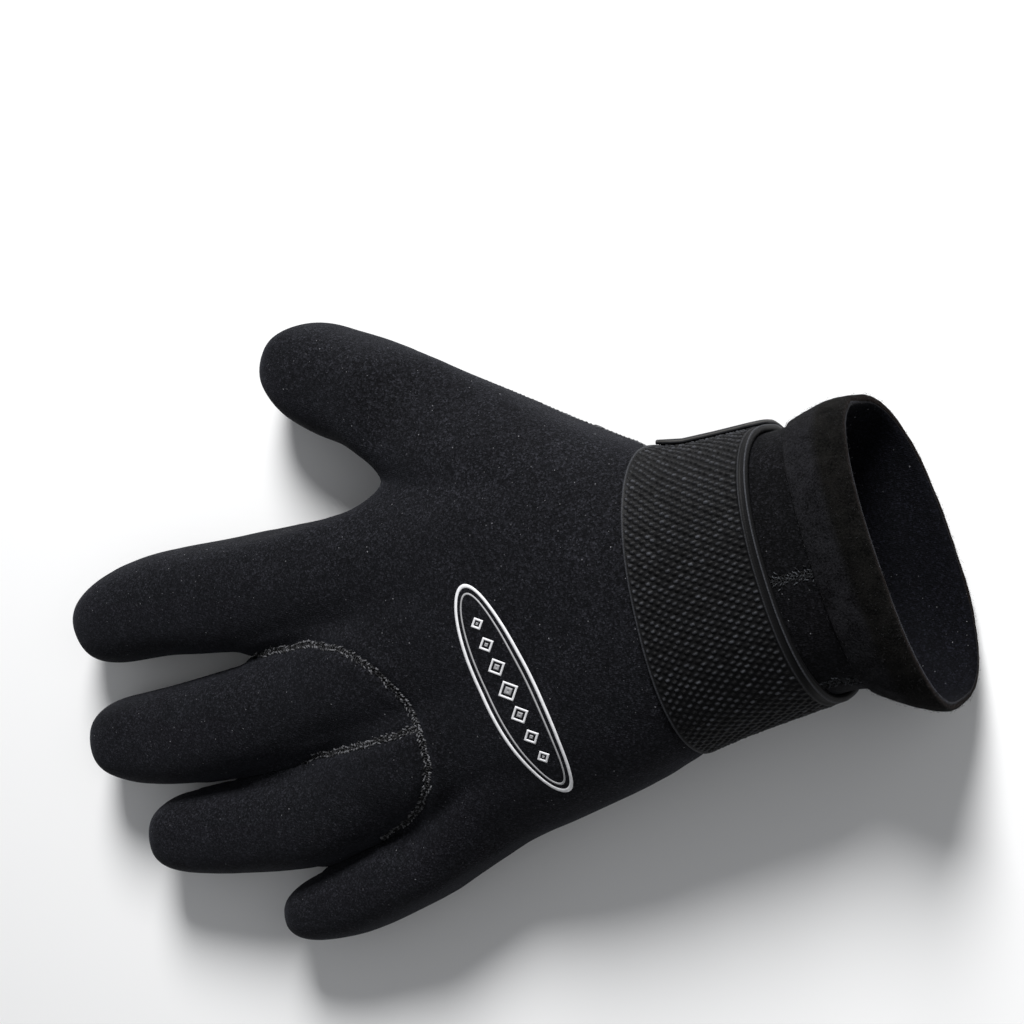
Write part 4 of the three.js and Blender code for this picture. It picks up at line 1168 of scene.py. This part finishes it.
def fuzzy_hem():
    n = 520
    u, _ = even_places(95, n, 2.9)
    V, edge, across = [], [], []
    for x, h in HEM_PROFILE:
        V.append(ring_points(x, u) + ring_out(min(x, 101.9), u) * h)
        # edge marks the rim's fold, where the material paints a warm highlight
        edge.append(np.full(n, np.clip((x - 101.9) / 0.4, 0, 1) * np.clip((0.9 - h) / 0.6, 0, 1)))
        # across picks the pale front half and the darker outer half, which carries painted shade
        across.append(np.full(n, (x - 86.4) / 16.6))
    K = len(V)
    V = np.vstack(V)
    q = grid_quads(K, n, True)
    last = np.arange(n) + (K - 1) * n
    first = np.arange(n)
    q = np.vstack([q, np.stack([last, np.roll(last, -1), np.roll(first, -1), first], 1)])
    F = outward(V, q.tolist())
    N = vertex_normals(V, np.array(F))
    free = np.repeat([1.0 if h > 0.45 or x > 102.2 else 0.0 for x, h in HEM_PROFILE], n)
    wave = 0.16 * value_noise(V, 2.2, 11, 3) + 0.22 * value_noise(V, 11, 12)
    V = V + N * (wave * free)[:, None]
    V[:, 2] = np.maximum(0.05, V[:, 2])
    ob = mesh_object("fuzzy_hem", V + SHIFT, F)
    paint(ob, edge=np.concatenate(edge), across=np.concatenate(across))
    return ob, V, N, free


made["fuzzy_hem"], hemV, hemN, hem_free = fuzzy_hem()
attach(made["fuzzy_hem"], "root")
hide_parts("cuff_hem")


def fibres(name, V, N, pick, count, length, radius, lay=0.75):
    """Short brushed fibres, each a thin three-sided thread."""
    ids = RNG.choice(pick, count)
    at = V[ids] + 0.35 * RNG.standard_normal((count, 3)) * 0.8
    n = N[ids]
    side = unit(np.cross(n, RNG.standard_normal((count, 3))))
    long_ = length * RNG.uniform(0.5, 1.3, count)
    t = np.linspace(0, 1, 4)
    up = (1 - lay) * t + 0.12 * np.sin(np.pi * t)
    P = at[:, None] - n[:, None] * 0.12 + long_[:, None, None] * (
        side[:, None] * (lay * t)[None, :, None] + n[:, None] * up[None, :, None]
    )
    curl = unit(np.cross(side, n))
    P += (long_ * RNG.uniform(-0.25, 0.25, count))[:, None, None] * curl[:, None] * (t**2)[None, :, None]
    U = np.broadcast_to(n[:, None], P.shape)
    W, F = tubes(P, U, radius * np.array([1, 0.9, 0.7, 0.35])[None], 3)
    W[:, 2] = np.maximum(0.02, W[:, 2])
    ob = mesh_object(name, W + SHIFT, F)
    paint(ob, tone=np.repeat(np.clip(RNG.normal(0.5, 0.25, count), 0, 1), 12))
    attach(ob, "root")
    made[name] = ob


fibres("hem_fibres", hemV, hemN, np.flatnonzero(hem_free > 0.5), 6500, 0.6, 0.032, 0.95)


# ---- the print on the back: a slim plain oval with a row of diamonds
def drop(xy, lift):
    """Points put down on the skin from above, raised by lift along its normal."""
    out = np.empty((len(xy), 3))
    for i, (x, y) in enumerate(xy):
        p, n, _, _ = SKIN.ray_cast(Vector((x, y, 90)), Vector((0, 0, -1)))
        out[i] = np.array(p) + np.array(n) * lift
    return out


def print_band(loop_in, loop_out, lift=0.13):
    """A closed printed band between two loops, with sides down to the skin."""
    n = len(loop_in)
    mid = (loop_in + loop_out) / 2
    rows = [drop(loop_in, -0.05), drop(loop_in + (mid - loop_in) * 0.18, lift), drop(mid, lift * 1.15),
            drop(loop_out + (mid - loop_out) * 0.18, lift), drop(loop_out, -0.05)]
    q = grid_quads(5, n, True)
    last, first = np.arange(n) + 4 * n, np.arange(n)
    q = np.vstack([q, np.stack([last, np.roll(last, -1), np.roll(first, -1), first], 1)])
    V = np.vstack(rows)
    return V, outward(V - V.mean(0), q.tolist())


def back_print():
    c = np.array([5.7, -14.6])
    ax = np.array([0.221, -0.975])
    pe = np.array([0.975, 0.221])
    V, F, tone, off = [], [], [], 0

    def put(part, value):
        nonlocal off
        v, f = part
        V.append(v)
        F.extend([[i + off for i in q] for q in f])
        tone.append(np.full(len(v), value))
        off += len(v)

    t = np.linspace(0, 2 * np.pi, 220, endpoint=False)
    oval = lambda p, q: c + np.outer(np.cos(t) * p, ax) + np.outer(np.sin(t) * q, pe)
    put(print_band(oval(27.7, 7.6), oval(28.8, 8.6)), 1.0)
    put(print_band(oval(25.9, 6.0), oval(26.5, 6.55)), 0.35)
    around = np.linspace(0, 4, 41)[:-1]
    k = around.astype(int)
    f = (around - k)[:, None]
    cor = np.array([[1, 0], [0, 1], [-1, 0], [0, -1]])
    unit_loop = cor[k] * (1 - f) + cor[(k + 1) % 4] * f
    for i in range(-3, 4):
        size = 3.3 - 0.42 * abs(i)
        at = c + ax * i * 6.7 * (1 - 0.03 * abs(i))
        loop = lambda r: at + np.outer(unit_loop[:, 0] * r * 0.86, ax) + np.outer(unit_loop[:, 1] * r * 1.05, pe)
        put(print_band(loop(size - 0.95), loop(size)), 1.0)
        put(print_band(loop(0.05), loop(max(0.5, size - 1.75))), 0.35)
    V = np.vstack(V)
    ob = mesh_object("back_print", V + SHIFT, F)
    paint(ob, tone=np.concatenate(tone))
    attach(ob, "root")
    return ob


made["back_print"] = back_print()


# ---- the grip print on the palm side: small raised rubber diamonds
def palm_grip():
    palm_faces = quads3[tag3 == PALM]
    palm_tree = BVHTree.FromPolygons([tuple(p) for p in ob3], [tuple(map(int, q)) for q in palm_faces])
    px, py, rx, ry = 5.6, 4.7, 2.35, 1.95
    cells = []
    for i in range(-60, 32):
        for j in range(-40, 46):
            x, y = i * px / 2, j * py / 2
            if (i + j) % 2 == 0 and -150 < x < 46 and -80 < y < 95:
                cells.append((x, y))
    loop = np.array([[1, 0], [0.5, 0.5], [0, 1], [-0.5, 0.5], [-1, 0], [-0.5, -0.5], [0, -1], [0.5, -0.5]], float)
    seam_pts = np.vstack([resample(out2[c], 0.8) for c in palm_seam if len(c) > 8])
    tree = KDTree(len(seam_pts))
    for i, p in enumerate(seam_pts):
        tree.insert(p, i)
    tree.balance()
    V, F, tone, off = [], [], [], 0
    for x, y in cells:
        p, n, _, _ = palm_tree.ray_cast(Vector((x, y, -5)), Vector((0, 0, 1)))
        if p is None or p[2] > 16 or n[2] > -0.5 or tree.find(p)[2] < 4.6:
            continue
        if x > 8 and (x > heel_end(y) - 4.2 or x > heel_end(y + 3) - 4.2 or x > heel_end(y - 3) - 4.2):
            continue
        pts = []
        ok = True
        for ring, (k, h) in enumerate(((1.0, -0.04), (0.84, 0.2), (0.45, 0.24))):
            for a, b in loop:
                q, m, _, _ = palm_tree.ray_cast(Vector((x + a * rx * k, y + b * ry * k, -5)), Vector((0, 0, 1)))
                if q is None or abs(q[2] - p[2]) > 3.2:
                    ok = False
                    break
                pts.append(np.array(q) + np.array(m) * h)
            if not ok:
                break
        if not ok:
            continue
        pts.append(np.array(p) + np.array(n) * 0.25)
        f = []
        for r in range(2):
            for k in range(8):
                f.append([r * 8 + k, r * 8 + (k + 1) % 8, (r + 1) * 8 + (k + 1) % 8, (r + 1) * 8 + k])
        f += [[16 + k, 16 + (k + 1) % 8, 24] for k in range(8)]
        f.append([7 - k for k in range(8)])
        W = np.array(pts)
        if off == 0:
            g = outward(W - W.mean(0), f)
            flip = g is not f
        F += [[i + off for i in (q[::-1] if flip else q)] for q in f]
        V.append(W)
        tone.append(np.full(len(W), np.clip(RNG.normal(0.5, 0.22), 0, 1)))
        off += len(W)
    V = np.vstack(V)
    V[:, 2] = np.maximum(0.02, V[:, 2])
    ob = mesh_object("palm_grip", V + SHIFT, F, smooth_faces=False)
    paint(ob, tone=np.concatenate(tone))
    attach(ob, "root")
    print("tiles", len(tone))
    return ob


made["palm_grip"] = palm_grip()


# ------------------------------------------------------------------ materials
def material(name, build):
    m = bpy.data.materials.new(name)
    m.use_nodes = True
    nt = m.node_tree
    nt.nodes.clear()
    out = nt.nodes.new("ShaderNodeOutputMaterial")
    bsdf = nt.nodes.new("ShaderNodeBsdfPrincipled")
    nt.links.new(bsdf.outputs[0], out.inputs[0])
    build(nt, bsdf)
    return m


def node(nt, kind, **values):
    n = nt.nodes.new(kind)
    for k, v in values.items():
        if hasattr(n, k):
            setattr(n, k, v)
        else:
            n.inputs[k.replace("_", " ")].default_value = v
    return n


def ramp(nt, fac, stops):
    r = nt.nodes.new("ShaderNodeValToRGB")
    els = r.color_ramp.elements
    while len(els) > 1:
        els.remove(els[-1])
    els[0].position, els[0].color = stops[0][0], (*stops[0][1], 1)
    for p, c in stops[1:]:
        e = els.new(p)
        e.color = (*c, 1)
    nt.links.new(fac, r.inputs[0])
    return r


def jersey(dark, light, lint=1.0, rough=0.85, sheen=0.03):
    """Nylon jersey over foam: a fine knit, a heathered tone and specks of lint."""

    def build(nt, bsdf):
        L = nt.links.new
        co = node(nt, "ShaderNodeTexCoord")
        fine = node(nt, "ShaderNodeTexVoronoi", Scale=2500.0)
        L(co.outputs["Object"], fine.inputs["Vector"])
        yarn = node(nt, "ShaderNodeSeparateColor")
        L(fine.outputs["Color"], yarn.inputs[0])
        blotch = node(nt, "ShaderNodeTexNoise", Scale=70.0, Detail=4.0, Roughness=0.7)
        L(co.outputs["Object"], blotch.inputs["Vector"])
        mixed = node(nt, "ShaderNodeMath", operation="MULTIPLY_ADD")
        L(yarn.outputs[0], mixed.inputs[0])
        mixed.inputs[1].default_value = 0.75
        scaled = node(nt, "ShaderNodeMath", operation="MULTIPLY")
        L(blotch.outputs["Fac"], scaled.inputs[0])
        scaled.inputs[1].default_value = 0.25
        L(scaled.outputs[0], mixed.inputs[2])
        middle_tone = tuple(0.62 * d + 0.38 * l for d, l in zip(dark, light))
        bright = tuple(1.9 * l for l in light)
        tone = ramp(nt, mixed.outputs[0], [(0.12, dark), (0.55, middle_tone), (0.80, light), (0.90, bright)])
        # lint: small pale specks, few and scattered
        vor = node(nt, "ShaderNodeTexVoronoi", Scale=760.0)
        L(co.outputs["Object"], vor.inputs["Vector"])
        sep = node(nt, "ShaderNodeSeparateColor")
        L(vor.outputs["Color"], sep.inputs[0])
        reach = node(nt, "ShaderNodeMath", operation="MULTIPLY_ADD")
        L(sep.outputs[2], reach.inputs[0])
        reach.inputs[1].default_value = 0.10
        reach.inputs[2].default_value = 0.05
        near = node(nt, "ShaderNodeMath", operation="LESS_THAN")
        L(vor.outputs["Distance"], near.inputs[0])
        L(reach.outputs[0], near.inputs[1])
        rare = node(nt, "ShaderNodeMath", operation="GREATER_THAN")
        L(sep.outputs[0], rare.inputs[0])
        rare.inputs[1].default_value = 1 - 0.45 * lint
        both = node(nt, "ShaderNodeMath", operation="MULTIPLY")
        L(near.outputs[0], both.inputs[0])
        L(rare.outputs[0], both.inputs[1])
        dim = node(nt, "ShaderNodeMath", operation="POWER")
        L(sep.outputs[1], dim.inputs[0])
        dim.inputs[1].default_value = 2.2
        amount = node(nt, "ShaderNodeMath", operation="MULTIPLY")
        L(both.outputs[0], amount.inputs[0])
        L(dim.outputs[0], amount.inputs[1])
        mix = node(nt, "ShaderNodeMix", data_type="RGBA")
        L(amount.outputs[0], mix.inputs[0])
        L(tone.outputs[0], mix.inputs[6])
        mix.inputs[7].default_value = (0.16, 0.16, 0.17, 1)
        L(mix.outputs[2], bsdf.inputs["Base Color"])
        bsdf.inputs["Roughness"].default_value = rough
        bsdf.inputs["Sheen Weight"].default_value = sheen
        bsdf.inputs["Sheen Roughness"].default_value = 0.55
        bsdf.inputs["Sheen Tint"].default_value = (0.75, 0.8, 1.0, 1)
        bsdf.inputs["Specular IOR Level"].default_value = 0.06
        # the knit's wales and its grain
        wave = node(nt, "ShaderNodeTexWave", Scale=640.0, Distortion=1.6, Detail=1.0, wave_type="BANDS", bands_direction="Y")
        wave.inputs["Detail Scale"].default_value = 4.0
        L(co.outputs["Object"], wave.inputs["Vector"])
        add = node(nt, "ShaderNodeMath", operation="MULTIPLY_ADD")
        L(wave.outputs["Fac"], add.inputs[0])
        add.inputs[1].default_value = 0.22
        L(fine.outputs["Distance"], add.inputs[2])
        bump = node(nt, "ShaderNodeBump", Strength=0.5, Distance=0.0002)
        L(add.outputs[0], bump.inputs["Height"])
        L(bump.outputs[0], bsdf.inputs["Normal"])

    return build


MAT_BACK = material("neoprene_back", jersey((0.0010, 0.0010, 0.0013), (0.0100, 0.0102, 0.0126)))
MAT_PALM = material("neoprene_palm", jersey((0.0009, 0.0009, 0.0010), (0.0085, 0.0085, 0.0090), lint=0.6))
# inner faces: a dark jersey, set darker still as painted shade for the inside of the glove
MAT_LINING_WITH_PAINTED_SHADE = material("lining", jersey((0.0008, 0.0009, 0.0015), (0.0036, 0.0038, 0.0058), lint=1.2, sheen=0.0))
MAT_FOAM = material("neoprene_edge", jersey((0.0045, 0.0042, 0.0045), (0.0110, 0.0105, 0.0110), lint=0.2))
MAT_CUFF = material("neoprene_cuff", jersey((0.0005, 0.0005, 0.0006), (0.0050, 0.0050, 0.0060), lint=0.5, sheen=0.01))

for name, mat, slot_name in (
    ("glove_back", MAT_BACK, "neoprene_back"),
    ("middle_finger_back", MAT_BACK, "neoprene_back"),
    ("ring_finger_back", MAT_BACK, "neoprene_back"),
    ("glove_palm", MAT_PALM, "neoprene_palm"),
    ("cuff", MAT_CUFF, "neoprene_cuff"),
    ("cuff_gusset_panel", MAT_CUFF, "neoprene_cuff"),
):
    for m in (mat, MAT_LINING_WITH_PAINTED_SHADE, MAT_FOAM):
        made[name].data.materials.append(m)

def attribute(nt, name):
    n = nt.nodes.new("ShaderNodeAttribute")
    n.attribute_name = name
    return n.outputs["Fac"]


def thread(dark, light, rough=0.8, name="tone"):
    """Spun thread: each strand its own tone, with a fine fibre grain."""

    def build(nt, bsdf):
        L = nt.links.new
        co = node(nt, "ShaderNodeTexCoord")
        grain = node(nt, "ShaderNodeTexNoise", Scale=5200.0, Detail=1.0)
        L(co.outputs["Object"], grain.inputs["Vector"])
        m = node(nt, "ShaderNodeMath", operation="MULTIPLY_ADD")
        L(grain.outputs["Fac"], m.inputs[0])
        m.inputs[1].default_value = 0.5
        L(attribute(nt, name), m.inputs[2])
        tone = ramp(nt, m.outputs[0], [(0.35, dark), (1.2 / 1.3, light)])
        L(tone.outputs[0], bsdf.inputs["Base Color"])
        bsdf.inputs["Roughness"].default_value = rough
        bsdf.inputs["Sheen Weight"].default_value = 0.03
        bsdf.inputs["Specular IOR Level"].default_value = 0.15
        bump = node(nt, "ShaderNodeBump", Strength=0.4, Distance=0.0001)
        L(grain.outputs["Fac"], bump.inputs["Height"])
        L(bump.outputs[0], bsdf.inputs["Normal"])

    return build


def weave(valley, crown, rough=0.55):
    def build(nt, bsdf):
        L = nt.links.new
        co = node(nt, "ShaderNodeTexCoord")
        fine = node(nt, "ShaderNodeTexNoise", Scale=2600.0, Detail=2.0)
        L(co.outputs["Object"], fine.inputs["Vector"])
        m = node(nt, "ShaderNodeMath", operation="MULTIPLY")
        L(fine.outputs["Fac"], m.inputs[0])
        m2 = node(nt, "ShaderNodeMath", operation="MULTIPLY")
        L(attribute(nt, "lift"), m2.inputs[0])
        m2.inputs[1].default_value = 2.0
        L(m2.outputs[0], m.inputs[1])
        # dark valleys, pale crowns: partly the yarns' own tones, partly painted shade and painted highlight on each
        # float
        tone = ramp(nt, m.outputs[0], [(0.12, valley), (0.95, crown)])
        L(tone.outputs[0], bsdf.inputs["Base Color"])
        bsdf.inputs["Roughness"].default_value = rough
        bsdf.inputs["Specular IOR Level"].default_value = 0.10
        bump = node(nt, "ShaderNodeBump", Strength=0.5, Distance=0.00015)
        L(fine.outputs["Fac"], bump.inputs["Height"])
        L(bump.outputs[0], bsdf.inputs["Normal"])

    return build


def rubber(dark, light, rough):
    def build(nt, bsdf):
        L = nt.links.new
        tone = ramp(nt, attribute(nt, "tone"), [(0.0, dark), (1.0, light)])
        co = node(nt, "ShaderNodeTexCoord")
        worn = node(nt, "ShaderNodeTexNoise", Scale=900.0, Detail=3.0)
        L(co.outputs["Object"], worn.inputs["Vector"])
        mix = node(nt, "ShaderNodeMix", data_type="RGBA", blend_type="MULTIPLY")
        mix.inputs[0].default_value = 0.35
        L(tone.outputs[0], mix.inputs[6])
        grey = ramp(nt, worn.outputs["Fac"], [(0.35, (0.55, 0.55, 0.55)), (0.65, (1, 1, 1))])
        L(grey.outputs[0], mix.inputs[7])
        L(mix.outputs[2], bsdf.inputs["Base Color"])
        r = ramp(nt, worn.outputs["Fac"], [(0.3, (rough + 0.12,) * 3), (0.7, (rough - 0.1,) * 3)])
        L(r.outputs[0], bsdf.inputs["Roughness"])
        bump = node(nt, "ShaderNodeBump", Strength=0.3, Distance=0.0001)
        L(worn.outputs["Fac"], bump.inputs["Height"])
        L(bump.outputs[0], bsdf.inputs["Normal"])

    return build


def brushed():
    """The hem's loop fabric: fuzzy, greyer towards the hand and dull brown on its outer half, partly its own tone and
    partly painted shade where the band slopes to the rim; a warm tint on the rim's fold is a painted highlight.
    """

    def build(nt, bsdf):
        L = nt.links.new
        co = node(nt, "ShaderNodeTexCoord")
        fine = node(nt, "ShaderNodeTexNoise", Scale=2100.0, Detail=3.0, Roughness=0.75)
        L(co.outputs["Object"], fine.inputs["Vector"])
        blotch = node(nt, "ShaderNodeTexNoise", Scale=260.0, Detail=2.0)
        L(co.outputs["Object"], blotch.inputs["Vector"])
        m = node(nt, "ShaderNodeMath", operation="MULTIPLY_ADD")
        L(blotch.outputs["Fac"], m.inputs[0])
        m.inputs[1].default_value = 0.3
        sc = node(nt, "ShaderNodeMath", operation="MULTIPLY")
        L(fine.outputs["Fac"], sc.inputs[0])
        sc.inputs[1].default_value = 0.7
        L(sc.outputs[0], m.inputs[2])
        pale = ramp(nt, m.outputs[0], [(0.38, (0.0006, 0.0006, 0.0008)), (0.62, (0.0130, 0.0130, 0.0150))])
        # the outer half, darker and browner: partly the fabric's own tone, partly painted shade where the band slopes
        # down to the rim
        brown = ramp(nt, m.outputs[0], [(0.38, (0.0003, 0.0003, 0.0003)), (0.62, (0.0062, 0.0059, 0.0054))])
        mix = node(nt, "ShaderNodeMix", data_type="RGBA")
        half = ramp(nt, attribute(nt, "across"), [(0.42, (0, 0, 0)), (0.56, (1, 1, 1))])
        L(half.outputs[0], mix.inputs[0])
        L(pale.outputs[0], mix.inputs[6])
        L(brown.outputs[0], mix.inputs[7])
        # a warm pale tint on the rim's fold: painted highlight
        hem_rim_highlight = node(nt, "ShaderNodeMix", data_type="RGBA")
        e = node(nt, "ShaderNodeMath", operation="MULTIPLY")
        L(attribute(nt, "edge"), e.inputs[0])
        e.inputs[1].default_value = 0.35
        L(e.outputs[0], hem_rim_highlight.inputs[0])
        L(mix.outputs[2], hem_rim_highlight.inputs[6])
        hem_rim_highlight.inputs[7].default_value = (0.012, 0.0065, 0.0055, 1)
        L(hem_rim_highlight.outputs[2], bsdf.inputs["Base Color"])
        bsdf.inputs["Roughness"].default_value = 0.95
        bsdf.inputs["Sheen Weight"].default_value = 0.01
        bsdf.inputs["Sheen Roughness"].default_value = 0.6
        bsdf.inputs["Specular IOR Level"].default_value = 0.03
        bump = node(nt, "ShaderNodeBump", Strength=0.9, Distance=0.0005)
        L(m.outputs[0], bump.inputs["Height"])
        L(bump.outputs[0], bsdf.inputs["Normal"])

    return build


def twill(dark, light, edge):
    def build(nt, bsdf):
        L = nt.links.new
        # the top stop, edge, colours the tab's rim pale: painted highlight along its edge
        tone = ramp(nt, attribute(nt, "lift"), [(0.0, dark), (0.6, light), (0.7, light), (1.0, edge)])
        L(tone.outputs[0], bsdf.inputs["Base Color"])
        co = node(nt, "ShaderNodeTexCoord")
        fine = node(nt, "ShaderNodeTexNoise", Scale=2400.0, Detail=2.0)
        L(co.outputs["Object"], fine.inputs["Vector"])
        bsdf.inputs["Roughness"].default_value = 0.6
        bsdf.inputs["Specular IOR Level"].default_value = 0.2
        bump = node(nt, "ShaderNodeBump", Strength=0.5, Distance=0.0002)
        L(fine.outputs["Fac"], bump.inputs["Height"])
        L(bump.outputs[0], bsdf.inputs["Normal"])

    return build


MAT_THREAD = material("seam_thread", thread((0.005, 0.005, 0.0055), (0.100, 0.101, 0.108)))
MAT_DULL = material("gusset_thread", thread((0.003, 0.003, 0.0035), (0.040, 0.043, 0.048)))
MAT_FUZZ = material("hem_fibre", thread((0.002, 0.002, 0.0022), (0.016, 0.016, 0.018)))
# the crown colour also carries a painted highlight on each float
MAT_STRAP = material("strap_webbing", weave((0.0036, 0.0036, 0.0040), (0.046, 0.048, 0.055)))
# the third colour is the painted highlight on the tab's rim
MAT_TAB = material("strap_tab", twill((0.0035, 0.0035, 0.0038), (0.017, 0.0175, 0.020), (0.060, 0.058, 0.053)))
MAT_HEM = material("hem_band", brushed())
MAT_PRINT = material("back_print", rubber((0.10, 0.10, 0.105), (0.78, 0.78, 0.80), 0.5))
MAT_GRIP = material("palm_grip", rubber((0.0025, 0.0025, 0.0026), (0.012, 0.012, 0.013), 0.32))
for name, mat, slot_name in (
    ("finger_panel_stitches", MAT_THREAD, "neoprene_back"),
    ("side_stitches", MAT_THREAD, "neoprene_back"),
    ("gusset_stitches", MAT_DULL, "neoprene_cuff"),
    ("woven_strap", MAT_STRAP, "strap_webbing"),
    ("hook_tab", MAT_TAB, "strap_tab"),
    ("fuzzy_hem", MAT_HEM, "hem_band"),
    ("hem_fibres", MAT_FUZZ, "hem_band"),
    ("back_print", MAT_PRINT, "neoprene_back"),
    ("palm_grip", MAT_GRIP, "neoprene_palm"),
):
    made[name].data.materials.append(mat)

# ------------------------------------------------------------------ floor and light
def stage():
    me = bpy.data.meshes.new("floor")
    s = 6.0
    me.from_pydata([(-s, -s, 0), (s, -s, 0), (s, s, 0), (-s, s, 0)], [], [(0, 1, 2, 3)])
    ob = bpy.data.objects.new("floor", me)
    bpy.context.collection.objects.link(ob)

    def build(nt, bsdf):
        bsdf.inputs["Base Color"].default_value = (0.88, 0.88, 0.88, 1)
        bsdf.inputs["Roughness"].default_value = 0.9

    me.materials.append(material("floor", build))

    def area(name, where, target, size, watts, color=(1, 1, 1)):
        li = bpy.data.lights.new(name, "AREA")
        li.shape = "DISK"
        li.size = size
        li.energy = watts
        li.color = color
        o = bpy.data.objects.new(name, li)
        o.location = where
        o.rotation_mode = "QUATERNION"
        o.rotation_quaternion = (Vector(target) - Vector(where)).to_track_quat("-Z", "Y")
        bpy.context.collection.objects.link(o)

    area("key", (0.38, 0.96, 0.70), (0, 0, 0.02), 0.46, 26)
    area("fill", (1.0, 0.10, 0.75), (0.08, 0, 0.02), 1.0, 1.8)
    w = bpy.data.worlds.new("world")
    bpy.context.scene.world = w
    w.use_nodes = True
    bg = w.node_tree.nodes["Background"]
    bg.inputs[0].default_value = (0.95, 0.97, 1.0, 1)
    bg.inputs[1].default_value = 0.24
    bpy.context.scene.view_settings.view_transform = "Standard"


stage()
